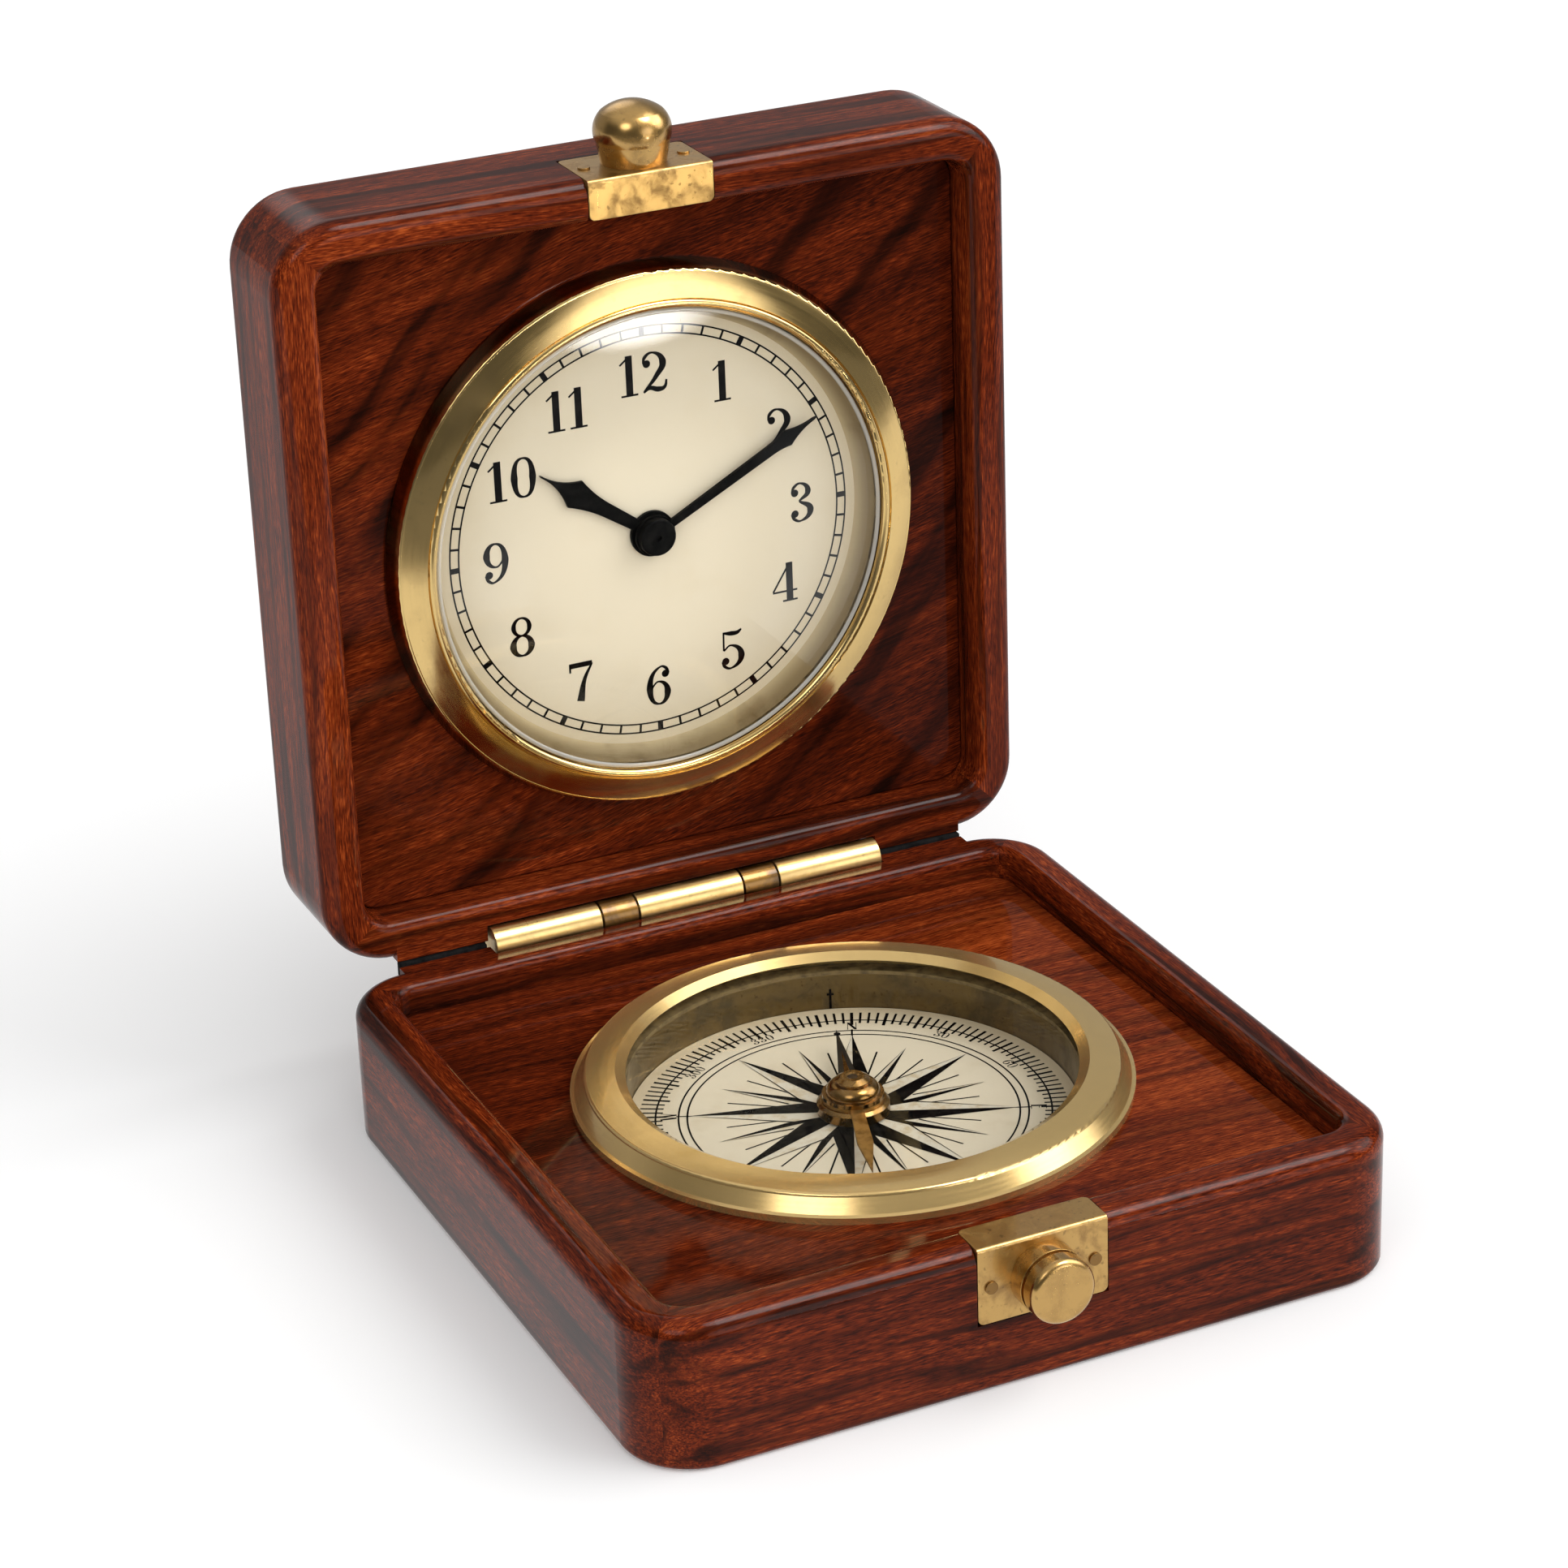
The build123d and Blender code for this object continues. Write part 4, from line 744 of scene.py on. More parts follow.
class Print:
    """Flat marks on one face, gathered into one mesh. Angles run clockwise from 12 o'clock or north."""

    def __init__(self, name: str, face: FlatFace, lift: float) -> None:
        """Starts an empty print.

        Args:
            name: The piece's name.
            face: The face that is printed on.
            lift: How far the ink stands proud, in millimetres.
        """
        self.name = name
        self.face = face
        self.lift = lift
        self.mesh = bmesh.new()
        self.pen = bpy.data.curves.new(name, "CURVE")
        self.pen.dimensions = "3D"
        self.pen.twist_mode = "Z_UP"
        self.pen.extrude = 1.0
        self.pen.resolution_u = 10

    @staticmethod
    def towards(angle: float, radius: float) -> Vector:
        """The point at an angle in degrees and a radius."""
        return Vector((radius * sin(radians(angle)), radius * cos(radians(angle)), 0.0))

    def ring(self, radius: float, width: float, steps: int = 180) -> None:
        """Draws a thin circle.

        Args:
            radius: To the middle of the line.
            width: Of the line.
            steps: Sides of the circle.
        """
        inner = self.mesh.verts.new((radius - width / 2, 0.0, 0.0))
        outer = self.mesh.verts.new((radius + width / 2, 0.0, 0.0))
        line = self.mesh.edges.new((inner, outer))
        bmesh.ops.spin(
            self.mesh, geom=[inner, outer, line], axis=(0, 0, 1), angle=tau, steps=steps, use_merge=True
        )

    def bar(self, angle: float, inner: float, outer: float, width: float) -> None:
        """Draws a straight mark along a radius.

        Args:
            angle: Clockwise, in degrees.
            inner: Radius of its near end.
            outer: Radius of its far end.
            width: Across the mark.
        """
        turn = Matrix.Rotation(-radians(angle), 4, "Z")
        middle = Matrix.Translation((0.0, (inner + outer) / 2, 0.0))
        size = Matrix.Diagonal((width, outer - inner, 1.0, 1.0))
        bmesh.ops.create_grid(self.mesh, x_segments=1, y_segments=1, size=0.5, matrix=turn @ middle @ size)

    def dot(self, centre: Vector, radius: float) -> None:
        """Fills a round spot."""
        place = Matrix.Translation(centre)
        bmesh.ops.create_circle(self.mesh, cap_ends=True, radius=radius, segments=24, matrix=place)

    def patch(self, corners: Iterable[Vector]) -> None:
        """Fills a flat shape between its corners."""
        bmesh.ops.contextual_create(self.mesh, geom=[self.mesh.verts.new(corner) for corner in corners])

    def write(self, text: str, centre: Vector, height: float, turn: float = 0.0) -> None:
        """Writes figures or letters.

        Args:
            text: What is written.
            centre: Middle of the word.
            height: Of a character.
            turn: Clockwise, in degrees.
        """
        scale = height / 100
        width = sum(GLYPHS[character].width for character in text) + LETTER_GAP * (len(text) - 1)
        base = Matrix.Translation(centre) @ Matrix.Rotation(-radians(turn), 4, "Z") @ Matrix.Scale(scale, 4)
        start = -width / 2
        for character in text:
            glyph = GLYPHS[character]
            place = base @ Matrix.Translation((start, -50, 0))
            for strokes, handle, closed in (
                (glyph.curves, "AUTO", False),
                (glyph.lines, "VECTOR", False),
                (glyph.loops, "AUTO", True),
            ):
                for stroke in strokes:
                    self._stroke(stroke, place, scale, handle, closed)
            for x, y in glyph.balls:
                spot = place @ Matrix.Translation((x, y, 0.0))
                bmesh.ops.create_circle(self.mesh, cap_ends=True, radius=BALL, segments=20, matrix=spot)
            start += glyph.width + LETTER_GAP

    def _stroke(self, stroke: Stroke, place: Matrix, scale: float, handle: str, closed: bool) -> None:
        """Adds one pen stroke, a curve whose width changes along it.

        Args:
            stroke: Points of the stroke.
            place: Where the character stands.
            scale: A hundredth of the character's height.
            handle: Handle type of the points.
            closed: True for a loop.
        """
        spline = self.pen.splines.new("BEZIER")
        spline.bezier_points.add(len(stroke) - 1)
        spline.use_cyclic_u = closed
        for point, (x, y, *half_width) in zip(spline.bezier_points, stroke):
            point.co = place @ Vector((x, y, 0.0))
            point.handle_left_type = point.handle_right_type = handle
            point.radius = (half_width[0] if half_width else HAIR) * scale
            point.tilt = pi / 2

    def finish(self, finish: Finish, body: Body, slot: str) -> None:
        """Makes the piece and sets it on its body.

        Args:
            finish: Its ink.
            body: What it rides on.
            slot: The record's material slot.
        """
        if self.pen.splines:
            strokes = bpy.data.objects.new(self.name + "_pen", self.pen)
            bpy.context.scene.collection.objects.link(strokes)
            graph = bpy.context.evaluated_depsgraph_get()
            drawn = bpy.data.meshes.new_from_object(strokes.evaluated_get(graph))
            self.mesh.from_mesh(drawn)
            bpy.data.objects.remove(strokes)
            bpy.data.meshes.remove(drawn)
        bpy.data.curves.remove(self.pen)
        bmesh.ops.remove_doubles(self.mesh, verts=self.mesh.verts, dist=1e-5)
        for face in self.mesh.faces:
            face.normal_update()
            if face.normal.z < 0:
                face.normal_flip()
        lifted = self.face.matrix() @ Matrix.Translation((0.0, 0.0, self.lift))
        bmesh.ops.transform(self.mesh, matrix=lifted, verts=self.mesh.verts)
        add_piece(self.name, self.mesh, finish, body, slot)


def add_piece(name: str, mesh: bmesh.types.BMesh, finish: Finish, body: Body, slot: str) -> None:
    """Turns a finished bmesh into a piece of the object.

    Args:
        name: The piece's name.
        mesh: Its shape, already in place; it is freed.
        finish: Its finish.
        body: What it rides on.
        slot: The record's material slot; not used.
    """
    data = bpy.data.meshes.new(name)
    mesh.to_mesh(data)
    mesh.free()
    data.materials.append(finish.material())
    piece = bpy.data.objects.new(name, data)
    bpy.context.scene.collection.objects.link(piece)
    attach(piece, body.value)
    log.info("piece %s: %d faces", name, len(data.polygons))


def dress_nodes(**finishes: Finish) -> None:
    """Gives CAD nodes their finishes.

    Args:
        **finishes: Finish by node name.
    """
    for name, finish in finishes.items():
        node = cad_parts[name]
        node.data.materials.clear()
        node.data.materials.append(finish.material())
        log.info("node %s: %s", name, finish.name)


def centre_of(node: str) -> Vector:
    """Middle of a CAD node's box, in metres."""
    low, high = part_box(node)
    return (low + high) / 2


def radius_of(node: str) -> float:
    """Half the width of a CAD node's box, in millimetres."""
    low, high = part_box(node)
    return (high.x - low.x) / 2 / MM


@dataclass
class WoodenBox:
    """The two wooden halves: frames, inset panels and closing boards. Sizes in millimetres."""

    strip_start: float = 28.7
    strip_end: float = 40.9
    strip_thickness: float = 1.2
    strip_height: float = 2.4
    strip_rise: float = 0.45
    strip_round: float = 0.15

    def build(self) -> None:
        """Adds dark strips that close the gap beside the hinge: painted shade where the gap lies in shadow.
        """
        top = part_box("base_frame")[1]
        shade_strip = Plain("black strip of painted shade", Tone.RUBBER, Tone.ENAMEL, 0.9, relief=0.05, sheen=0.1)
        rounding = {"offset": self.strip_round * MM, "segments": 2, "profile": 0.5, "affect": "EDGES"}
        for name, side in (("left", -1), ("right", 1)):
            strip = bmesh.new()
            length = self.strip_end - self.strip_start
            size = Matrix.Diagonal((length * MM, self.strip_thickness * MM, self.strip_height * MM, 1.0))
            bmesh.ops.create_cube(strip, size=1.0, matrix=size)
            bmesh.ops.bevel(strip, geom=strip.edges, material=-1, **rounding)
            middle = side * (self.strip_start + self.strip_end) / 2 * MM
            height = top.z + (self.strip_rise - self.strip_height / 2) * MM
            place = Matrix.Translation((middle, top.y + self.strip_thickness / 2 * MM, height))
            bmesh.ops.transform(strip, matrix=place, verts=strip.verts)
            add_piece(f"hinge_shade_strip_{name}", strip, shade_strip, Body.BASE, "black_rubber")

    def dress(self) -> None:
        """Gives each wooden piece its own run of grain."""
        lid = centre_of("lid_frame").z / MM
        dress_nodes(
            base_frame=Rosewood(
                "rosewood of the base's frame", Grain.MITRED, seed=3.0, lift=0.012, dark_streaks=0.8
            ),
            # The base's panel grows lighter towards the right
            base_panel=Rosewood(
                "rosewood of the base's panel",
                Grain.PLAIN,
                seed=17.0,
                lift=0.03,
                drift=0.0018,
                dark_streaks=0.45,
                lacquer=1.14,
            ),
            base_bottom=Rosewood("rosewood of the base's bottom", Grain.PLAIN, seed=29.0),
            lid_frame=Rosewood(
                "rosewood of the lid's frame", Grain.MITRED, lid, seed=43.0, lift=0.04, dark_streaks=0.75
            ),
            # The lid's panel darkens towards the right: painted shade of the frame's right wall
            lid_panel=Rosewood(
                "rosewood of the lid's panel",
                Grain.FIGURED,
                lid,
                seed=31.0,
                lift=-0.015,
                drift=-0.0008,
                lacquer=1.13,
            ),
            lid_back=Rosewood("rosewood of the lid's back", Grain.FIGURED, lid, seed=71.0),
        )


@dataclass
class Fittings:
    """Hinge, catch plates, finger knobs, pins, screws and magnets."""

    def dress(self) -> None:
        """Gives the brass and steel fittings their finishes."""
        bright = Brass("bright brass fittings", patina=0.3, polish=0.26)
        dark = Brass("dark brass fittings", patina=0.8, polish=0.3, **DARK_BRASS)
        plate = Brass("mottled brass plates", bright=Tone.BRASS_MID, patina=0.75, polish=0.26, patch=3.0)
        knob = Brass("knob brass", bright=Tone.BRASS_MID, patina=0.45, polish=0.16, patch=4.0)
        steel = Plain("dull steel", Tone.STEEL, Tone.STEEL_DULL, 0.32, 1.0)
        dress_nodes(
            base_hinge_leaf=bright,
            lid_hinge_leaf=dark,
            hinge_pin=bright,
            base_leaf_screws=dark,
            lid_leaf_screws=bright,
            base_catch_plate=plate,
            lid_catch_plate=plate,
            base_plate_pins=dark,
            lid_plate_pins=plate,
            base_magnets=steel,
            lid_magnets=steel,
            base_knob=knob,
            lid_knob=knob,
        )


@dataclass
class Compass:
    """The compass in the base: bowl, printed card, glass, bezel and needle.

    Radii on the card are shares of its own; other lengths are in millimetres, angles in degrees.
    """

    card_turn: float = -25.5
    needle_heading: float = -19.0
    ink_lift: float = 0.02
    line: float = 0.24
    tick_circle: float = 0.876
    tick_start: float = 0.845
    tick_end: float = 0.95
    tick_step: float = 2.5
    tick_width: float = 0.32
    long_tick_start: float = 0.828
    long_tick_every: int = 4
    long_tick_weight: float = 1.3
    outer_circle: float = 0.774
    inner_circle: float = 0.735
    tie_reach: Pair = (0.6, 0.3)
    letter_radius: float = 0.818
    letter_height: float = 2.0
    letter_step: int = 30
    degree_share: float = 0.72
    point_count: int = 8
    rose_reach: float = 0.73
    rose_shoulder: float = 0.24
    rose_spread: float = 22.5
    minor_reach: float = 0.64
    minor_shoulder: float = 0.3
    minor_spread: float = 6.5
    ray_count: int = 16
    ray_start: float = 0.33
    ray_end: float = 0.57
    ray_width: float = 0.24
    mark_angle: float = 20.0
    mark_height: float = 2.9
    mark_width: float = 0.3
    cross_width: float = 0.9
    cross_height: float = 2.0
    inlay: Triple = (5.0, 12.0, 0.45)
    tip_spot: Pair = (16.7, 0.45)
    dimple: Pair = (0.62, 0.1)

    def __post_init__(self) -> None:
        """Measures the card."""
        self.radius = radius_of("compass_card")

    def build(self) -> None:
        """Prints the card and marks the bowl and the needle."""
        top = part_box("compass_card")[1].z
        face = FlatFace(Vector((0.0, 0.0, top)), False, radians(self.card_turn))
        pale = Plain("grey printing ink", Tone.PALE_INK, Tone.CARD_AGED, 0.6)
        for name, layer, draw, ink, slot in (
            ("card_scale", 1.0, self._scale, BLACK_INK, "black_enamel"),
            ("card_figures", 1.0, self._words, BLACK_INK, "black_enamel"),
            ("card_rays", 1.0, self._rays, BLACK_INK, "black_enamel"),
            ("card_rose_shade", 1.5, partial(self._points, side=-1), pale, "printed_card"),
            ("card_rose", 2.0, partial(self._points, side=1), BLACK_INK, "black_enamel"),
            ("card_rose_lines", 3.0, self._outlines, BLACK_INK, "black_enamel"),
        ):
            mark = Print(name, face, layer * self.ink_lift)
            draw(mark)
            mark.finish(ink, Body.BASE, slot)
        self._bowl_mark(top)
        self._needle_marks()

    def _bowl_mark(self, floor: float) -> None:
        """Draws the upright mark on the bowl's wall.

        Args:
            floor: Height of the card, in metres.
        """
        angle = radians(self.mark_angle)
        wall = Vector((sin(angle), cos(angle), 0.0)) * self.radius * MM
        mark = Print("bowl_mark", FlatFace(wall + Vector((0.0, 0.0, floor)), True, -angle), self.ink_lift)
        mark.bar(0.0, self.ink_lift, self.mark_height, self.mark_width)
        half, low, high = self.cross_width / 2, self.cross_height, self.cross_height + self.mark_width
        corners = ((-half, low), (half, low), (half, high), (-half, high))
        mark.patch(Vector((x, y, self.ink_lift)) for x, y in corners)
        mark.finish(BLACK_INK, Body.BASE, "black_enamel")

    def _needle_marks(self) -> None:
        """Adds the needle's inlay, the spot near its tip and the dark dimple of its cap."""
        blade = FlatFace(Vector((0.0, 0.0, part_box("needle")[1].z)), False, radians(self.needle_heading))
        inlay = Print("needle_inlay", blade, self.ink_lift)
        near, far, half = self.inlay
        inlay.patch(Vector((x, y, 0.0)) for x, y in ((-half, near), (half, near), (0.0, far)))
        inlay.finish(Brass("needle inlay brass", **DARK_BRASS), Body.NEEDLE, "brass")
        spot = Print("needle_spot", blade, self.ink_lift)
        spot.dot(Vector((0.0, self.tip_spot[0], 0.0)), self.tip_spot[1])
        spot.finish(BLACK_ENAMEL, Body.NEEDLE, "black_enamel")
        # The cap's dimple gets a dark spot: painted shade in its hollow
        radius, depth = self.dimple
        crown = FlatFace(Vector((0.0, 0.0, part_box("needle_cap")[1].z)), False)
        dimple = Print("cap_dimple", crown, -depth)
        dimple.dot(Vector((0.0, 0.0, 0.0)), radius)
        stain = Plain("dark painted shade in the dimple", Tone.BRASS_STAIN, Tone.ENAMEL, 0.5, sheen=0.3)
        dimple.finish(stain, Body.NEEDLE, "black_enamel")

    def _scale(self, mark: Print) -> None:
        """Draws the degree ticks and the circles.

        Args:
            mark: The print to draw on.
        """
        for share in (self.tick_circle, self.outer_circle, self.inner_circle):
            mark.ring(share * self.radius, self.line)
        for index in range(round(360 / self.tick_step)):
            start, width = self.tick_start, self.tick_width
            if index % self.long_tick_every == 0:
                start, width = self.long_tick_start, self.tick_width * self.long_tick_weight
            mark.bar(index * self.tick_step, start * self.radius, self.tick_end * self.radius, width)

    def _words(self, mark: Print) -> None:
        """Writes the four letters and the degrees between them.

        Args:
            mark: The print to draw on.
        """
        near = self.inner_circle * self.radius - self.tie_reach[0]
        far = self.outer_circle * self.radius + self.tie_reach[1]
        for angle in range(0, 360, self.letter_step):
            height = self.letter_height * (1.0 if angle in CARDINALS else self.degree_share)
            centre = mark.towards(angle, self.letter_radius * self.radius)
            mark.write(CARDINALS.get(angle, str(angle)), centre, height, angle)
            if angle in CARDINALS:
                mark.bar(angle, near, far, self.line)

    def _rays(self, mark: Print) -> None:
        """Draws the thin rays between the rose's points.

        Args:
            mark: The print to draw on.
        """
        for index in range(self.ray_count):
            angle = (index + 0.5) * 360 / self.ray_count
            mark.bar(angle, self.ray_start * self.radius, self.ray_end * self.radius, self.ray_width)

    def _kites(self, side: int) -> Iterable[tuple[Vector, Vector]]:
        """One half of each point of the rose.

        Args:
            side: 1 for the clockwise half, -1 for the other.

        Returns:
            Tip and wing of each half, the small points first.
        """
        step = 360 / self.point_count
        minor = (step / 2, self.minor_reach, self.minor_shoulder, self.minor_spread)
        major = (0.0, self.rose_reach, self.rose_shoulder, self.rose_spread)
        for first, reach, shoulder, spread in (minor, major):
            for index in range(self.point_count):
                angle = index * step + first
                wing = Print.towards(angle + side * spread, shoulder * self.radius)
                yield Print.towards(angle, reach * self.radius), wing

    def _points(self, mark: Print, side: int) -> None:
        """Fills one half of each point of the rose (see _kites)."""
        for tip, wing in self._kites(side):
            mark.patch((Vector((0.0, 0.0, 0.0)), tip, wing))

    def _outlines(self, mark: Print) -> None:
        """Outlines the pale half of each point of the rose.

        Args:
            mark: The print to draw on.
        """
        for tip, wing in self._kites(-1):
            side = (tip - wing).cross(Vector((0.0, 0.0, 1.0))).normalized() * self.line
            mark.patch((wing, tip, wing + side))

    def dress(self) -> None:
        """Gives the compass's nodes their finishes."""
        card = centre_of("compass_card")
        paper = PaleDisc("aged card", Tone.CARD, Tone.CARD_AGED, tuple(card / MM), self.radius, 0.45)
        turned = Brass(
            "turned brass of the compass", Turning.COMPASS, patina=0.12, polish=0.16, satin=0.2, **TURNED
        )
        bowl = Brass(
            "stained brass of the bowl", bright=Tone.OLIVE, dull=Tone.OLIVE_DARK, patina=0.9, polish=0.4
        )
        cap = Brass(
            "dark brass of the cap",
            Turning.COMPASS,
            bright=Tone.BRASS_DULL,
            patina=0.7,
            polish=0.14,
            edge=0.0,
        )
        dress_nodes(
            compass_bowl=bowl,
            compass_card=paper,
            compass_gasket=Plain("olive rubber", Tone.OLIVE, Tone.OLIVE_DARK, 0.6),
            compass_glass=ClearGlass("clear flat glass", 0.02),
            compass_bezel=turned,
            compass_pivot=Plain("pivot steel", Tone.STEEL, Tone.STEEL_DULL, 0.25, 1.0),
            needle_hub=Brass("dark turned brass", Turning.COMPASS, patina=0.8, **DARK_BRASS),
            needle=PointerEnamel("enamelled needle", radians(self.needle_heading)),
            needle_cap=cap,
        )


@dataclass
class Clock:
    """The clock in the lid: case, dial, hands, glass and bezel. Sizes in millimetres."""

    ink_lift: float = 0.02
    track_outer: float = 28.0
    track_inner: float = 26.8
    line: float = 0.22
    minute_width: float = 0.32
    hour_width: float = 0.75
    figure_radius: float = 21.7
    figure_height: float = 5.5
    circle_sides: int = 240
    glass_edge_radius: float = 31.0
    glass_edge_width: float = 0.6
    glass_edge_drop: float = 1.3
    glass_edge_sides: int = 8

    def build(self) -> None:
        """Prints the dial and rolls the glass's edge."""
        low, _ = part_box("dial")
        middle = centre_of("dial")
        face = FlatFace(Vector((0.0, low.y, middle.z)), True)
        track = Print("dial_track", face, self.ink_lift)
        for radius in (self.track_outer, self.track_inner):
            track.ring(radius, self.line, self.circle_sides)
        for minute in range(MINUTES):
            width = self.minute_width if minute % (MINUTES // HOURS) else self.hour_width
            track.bar(minute * 360 / MINUTES, self.track_inner, self.track_outer, width)
        track.finish(BLACK_INK, Body.LID, "black_enamel")
        figures = Print("dial_figures", face, self.ink_lift)
        for hour in range(1, HOURS + 1):
            centre = figures.towards(hour * 360 / HOURS, self.figure_radius)
            figures.write(str(hour), centre, self.figure_height)
        figures.finish(BLACK_INK, Body.LID, "black_enamel")
        self._glass_edge(FlatFace(Vector((0.0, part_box("clock_glass")[0].y, middle.z)), True))

    def _glass_edge(self, face: FlatFace) -> None:
        """Rolls the polished bead round the glass's edge.

        Args:
            face: The plane of the dome's top.
        """
        bead = bmesh.new()
        half, level = self.glass_edge_width / 2, -self.glass_edge_drop
        angles = [pi * index / self.glass_edge_sides for index in range(self.glass_edge_sides + 1)]
        points = [(self.glass_edge_radius + half * cos(a), 0.0, level + half * sin(a)) for a in angles]
        row = [bead.verts.new(point) for point in points]
        geom = row + [bead.edges.new(pair) for pair in zip(row, row[1:])]
        bmesh.ops.spin(bead, geom=geom, axis=(0, 0, 1), angle=tau, steps=self.circle_sides, use_merge=True)
        bmesh.ops.recalc_face_normals(bead, faces=bead.faces)
        bmesh.ops.transform(bead, matrix=face.matrix(), verts=bead.verts)
        for side in bead.faces:
            side.smooth = True
        # Half the bead's colour is a pale painted glint
        glass = ClearGlass("polished glass edge with painted glint", 1.0, 0.5)
        add_piece("clock_glass_edge", bead, glass, Body.LID, "clear_glass")

    def dress(self) -> None:
        """Gives the clock's visible nodes their finishes."""
        middle = centre_of("dial") / MM
        # The bezel's outer wall, beyond a radius of 36.25 mm, is painted dark: painted shade and painted
        # reflection of the wood
        turned = Brass(
            "turned brass of the clock",
            Turning.CLOCK,
            middle.z,
            patina=0.15,
            polish=0.1,
            wall=36.25,
            **TURNED,
        )
        # The wall's cream middle is a painted reflection of the dial; its olive rim is the brass's own colour
        wall = PaleDisc(
            "satin wall round the dial",
            Tone.WALL,
            Tone.WALL_EDGE,
            tuple(middle),
            radius_of("rehaut_ring"),
            stain=0.3,
            start=0.92,
            end=0.985,
        )
        paint = PaleDisc("cream dial paint", Tone.DIAL, Tone.DIAL_EDGE, tuple(middle), radius_of("dial"))
        dress_nodes(
            dial=paint,
            rehaut_ring=wall,
            clock_glass=ClearGlass("clear domed glass", 0.55, calm_height=middle.z),
            clock_bezel=turned,
            clock_case=Brass(
                "inner brass of the clock", Turning.CLOCK, middle.z, patina=0.2, polish=0.16, patch=9.0
            ),
            clock_grip_ring=Plain("black rubber", Tone.RUBBER, Tone.RUBBER_DUSTY, 0.7),
            hour_hand=BLACK_ENAMEL,
            minute_hand=BLACK_ENAMEL,
            hand_nut=BLACK_ENAMEL,
        )


@dataclass
class Movement:
    """The quartz movement behind the dial."""

    def dress(self) -> None:
        """Gives the hidden nodes their finishes."""
        brass = Brass("movement brass", patina=0.1, polish=0.28)
        steel = Plain("bright steel", Tone.STEEL, Tone.STEEL_DULL, 0.25, 1.0)
        plastic = Plain("white moulded plastic", Tone.PLASTIC, Tone.PLASTIC_SHADE, 0.45)
        finishes: dict[str, Finish] = {
            "centre_arbor": Plain("blackened arbor", Tone.ENAMEL, Tone.ENAMEL_WORN, 0.35, sheen=0.2),
            "circuit_board": Plain("green circuit board", Tone.BOARD, Tone.BOARD_TRACK, 0.4),
            "drive_coil": Plain("enamelled copper wire", Tone.COPPER, Tone.COPPER_DARK, 0.35, 0.6, 0.4),
        }
        for finish, nodes in (
            (brass, ("front_plate", "bridge", "minute_wheel", "hour_wheel", "setting_arbor")),
            (brass, ("cell_spring", "cell_side_contact")),
            (plastic, ("movement_spacer", "back_cover", "step_gear_box", "setting_knob")),
            (steel, ("bridge_screws", "coil_core", "button_cell")),
        ):
            finishes |= dict.fromkeys(nodes, finish)
        dress_nodes(**finishes)


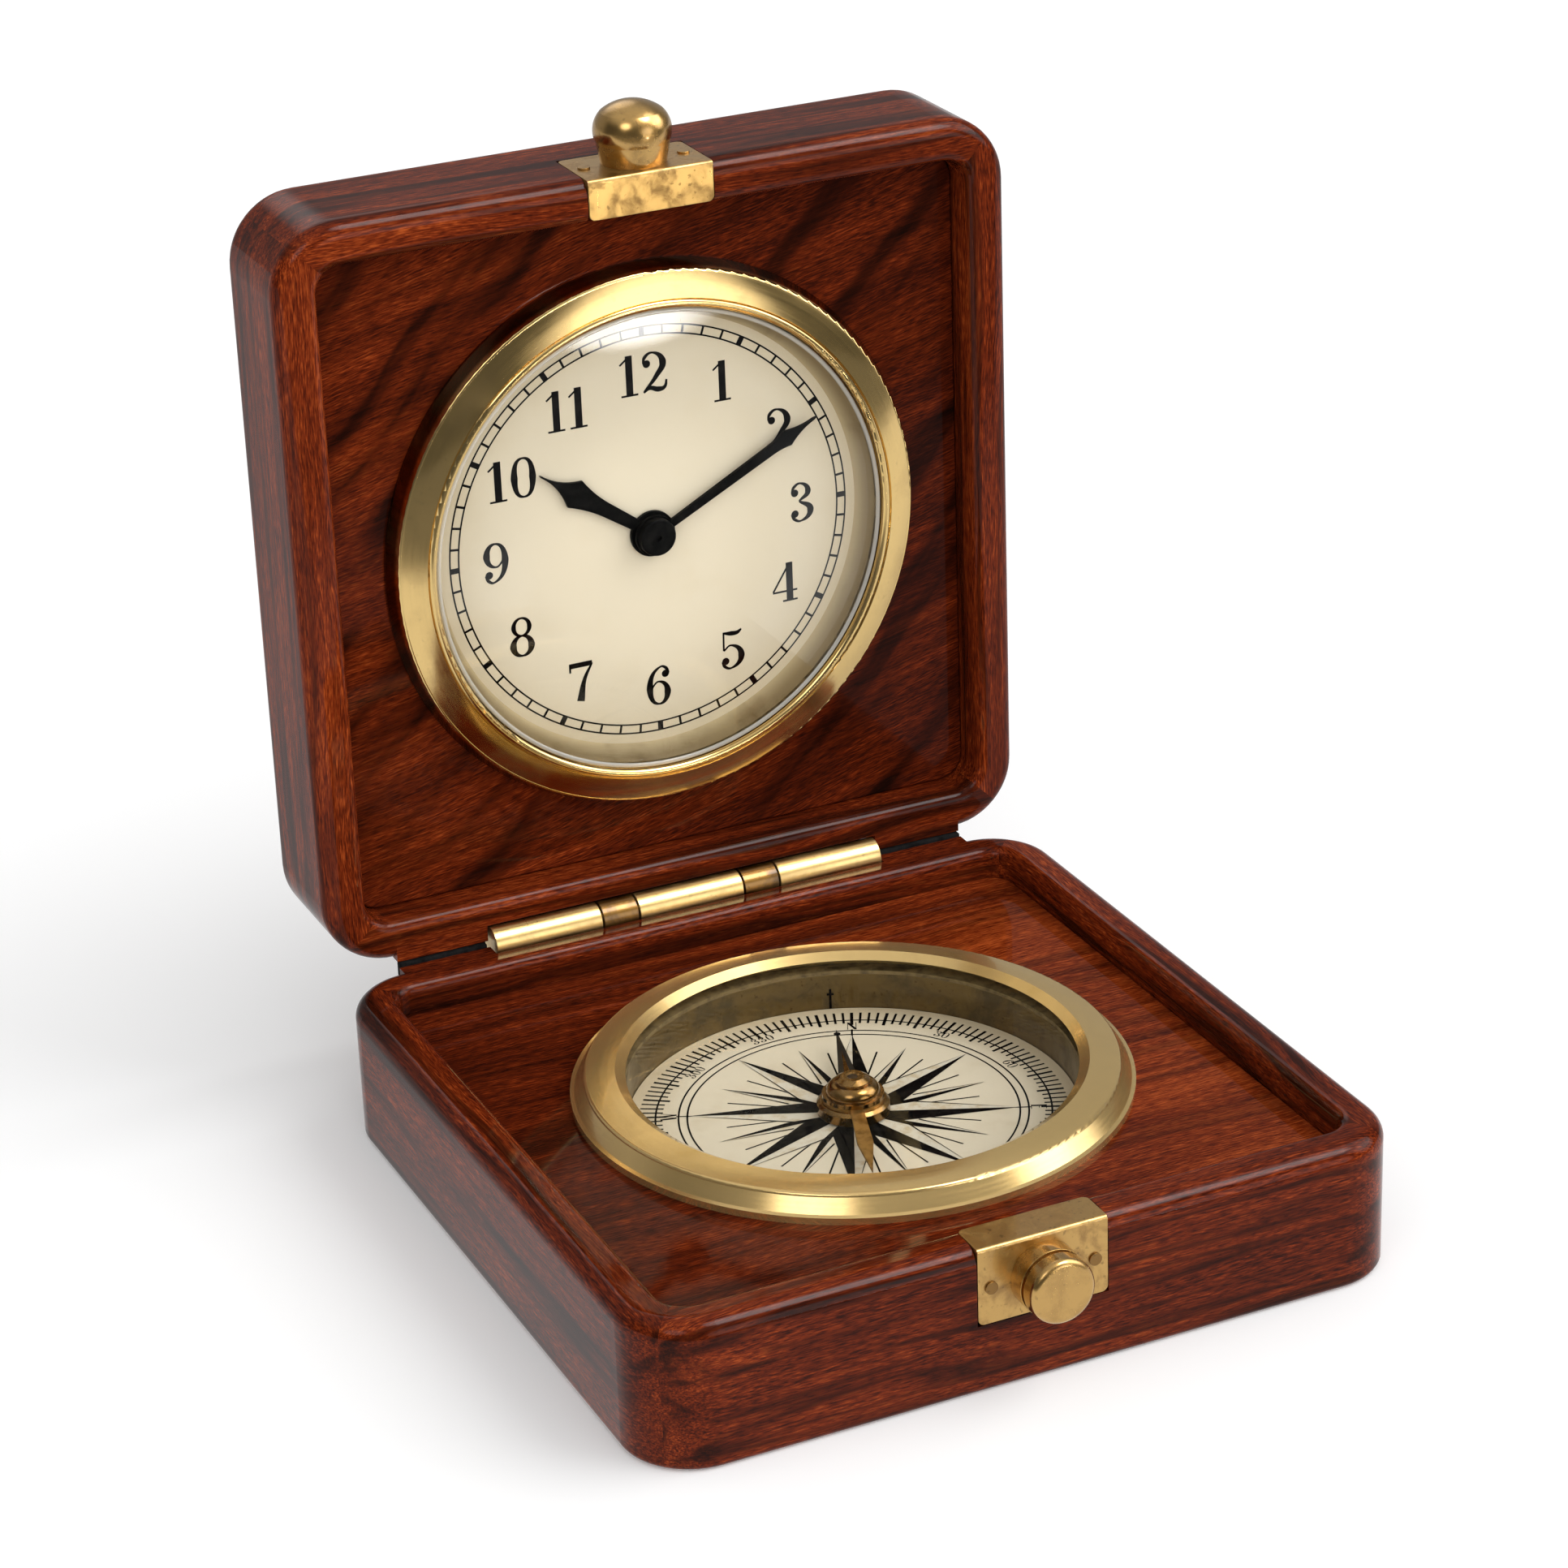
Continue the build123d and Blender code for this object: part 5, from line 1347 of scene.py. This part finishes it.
@dataclass
class Studio:
    """Camera, light and floor. Lengths in millimetres."""

    eye: Triple = (-211.079, -447.951, 281.445)
    azimuth: float = 24.4
    elevation: float = 24.44
    roll: float = -2.13
    focal_pixels: float = 5548.3
    sensor: float = 36.0
    floor_radius: float = 4000.0
    ambient: float = 0.53
    front_light: float = 0.9
    sun_strength: float = 1.2
    sun_angle: float = 50.0
    sun_from: Triple = (0.66, -0.24, 0.71)
    room: float = 0.1
    lamps: tuple[tuple[Triple, float, float], ...] = (
        ((0.37, -0.35, 0.86), 10.0, 10.0),
        ((0.38, -0.9, 0.2), 12.0, 2.4),
        ((0.1, 0.8, 0.6), 12.0, 1.2),
        ((0.85, -0.3, 0.42), 14.0, 2.5),
        ((-0.55, -0.55, 0.63), 10.0, 3.0),
    )
    lamp_edge: Pair = (1.7, 0.6)
    ceiling: float = 0.6
    backdrop: float = 0.22

    def build(self) -> None:
        """Sets up the camera, the world, the sun and the floor."""
        scene = bpy.context.scene
        scene.view_settings.view_transform = "Standard"
        self._camera(scene)
        self._world(scene)
        lamp = bpy.data.lights.new("key", "SUN")
        lamp.energy = self.sun_strength
        lamp.angle = radians(self.sun_angle)
        key = bpy.data.objects.new("key", lamp)
        key.rotation_euler = Vector(self.sun_from).to_track_quat("Z", "Y").to_euler()
        scene.collection.objects.link(key)
        sheet = bmesh.new()
        bmesh.ops.create_circle(sheet, cap_ends=True, radius=self.floor_radius * MM, segments=96)
        data = bpy.data.meshes.new("floor")
        sheet.to_mesh(data)
        sheet.free()
        data.materials.append(PaperFloor("white paper").material())
        floor = bpy.data.objects.new("floor", data)
        scene.collection.objects.link(floor)

    def _camera(self, scene: bpy.types.Scene) -> None:
        """Places the camera where the photograph was taken.

        Args:
            scene: The scene it belongs to.
        """
        data = bpy.data.cameras.new("camera")
        data.sensor_fit = "HORIZONTAL"
        data.sensor_width = self.sensor
        data.lens = self.focal_pixels / PHOTO_WIDTH * self.sensor
        data.clip_start = 0.01
        camera = bpy.data.objects.new("camera", data)
        aim = Matrix.Rotation(-radians(self.azimuth), 4, "Z")
        tilt = Matrix.Rotation(pi / 2 - radians(self.elevation), 4, "X")
        turn = Matrix.Rotation(radians(self.roll), 4, "Z")
        camera.matrix_world = Matrix.Translation(Vector(self.eye) * MM) @ aim @ tilt @ turn
        scene.collection.objects.link(camera)
        scene.camera = camera

    def _world(self, scene: bpy.types.Scene) -> None:
        """Lights the scene evenly, and lets gloss see soft boxes in a dim room.

        Args:
            scene: The scene it belongs to.
        """
        world = bpy.data.worlds.new("studio")
        world.use_nodes = True
        world.node_tree.nodes.clear()
        start = Signal(world.node_tree)
        way = start.node("ShaderNodeTexCoord", output="Generated")
        _, y, z = way.parts()
        camera, gloss = start.rays("Camera", "Glossy")
        front = (y * -1.0).step(0.15, 0.5) * self.front_light
        wall = y.step(0.2, 0.6) * (0.7 - z).step(0.0, 0.25) * self.backdrop
        room = z.step(0.45, 0.95) * self.ceiling + wall + self.room
        for towards, half_angle, brightness in self.lamps:
            aim = Vector(towards).normalized()
            facing = way.node("ShaderNodeVectorMath", {"operation": "DOT_PRODUCT"}, {0: way, 1: aim}, "Value")
            halo, core = (cos(radians(half_angle * share)) for share in self.lamp_edge)
            room = room + facing.step(halo, core) * brightness
        light = gloss * room + (1.0 - gloss) * (front + self.ambient)
        strength = camera + (1.0 - camera) * light
        glow = start.node("ShaderNodeBackground", inputs={"Color": WHITE, "Strength": strength})
        start.node("ShaderNodeOutputWorld", inputs={"Surface": glow})
        scene.world = world


def main() -> None:
    """Builds the scene and dresses every piece."""
    logging.basicConfig(level=logging.INFO, format="%(message)s")
    Studio().build()
    Fittings().dress()
    for group in (WoodenBox(), Compass(), Clock()):
        group.build()
        group.dress()
    Movement().dress()


if __name__ == "__main__":
    main()
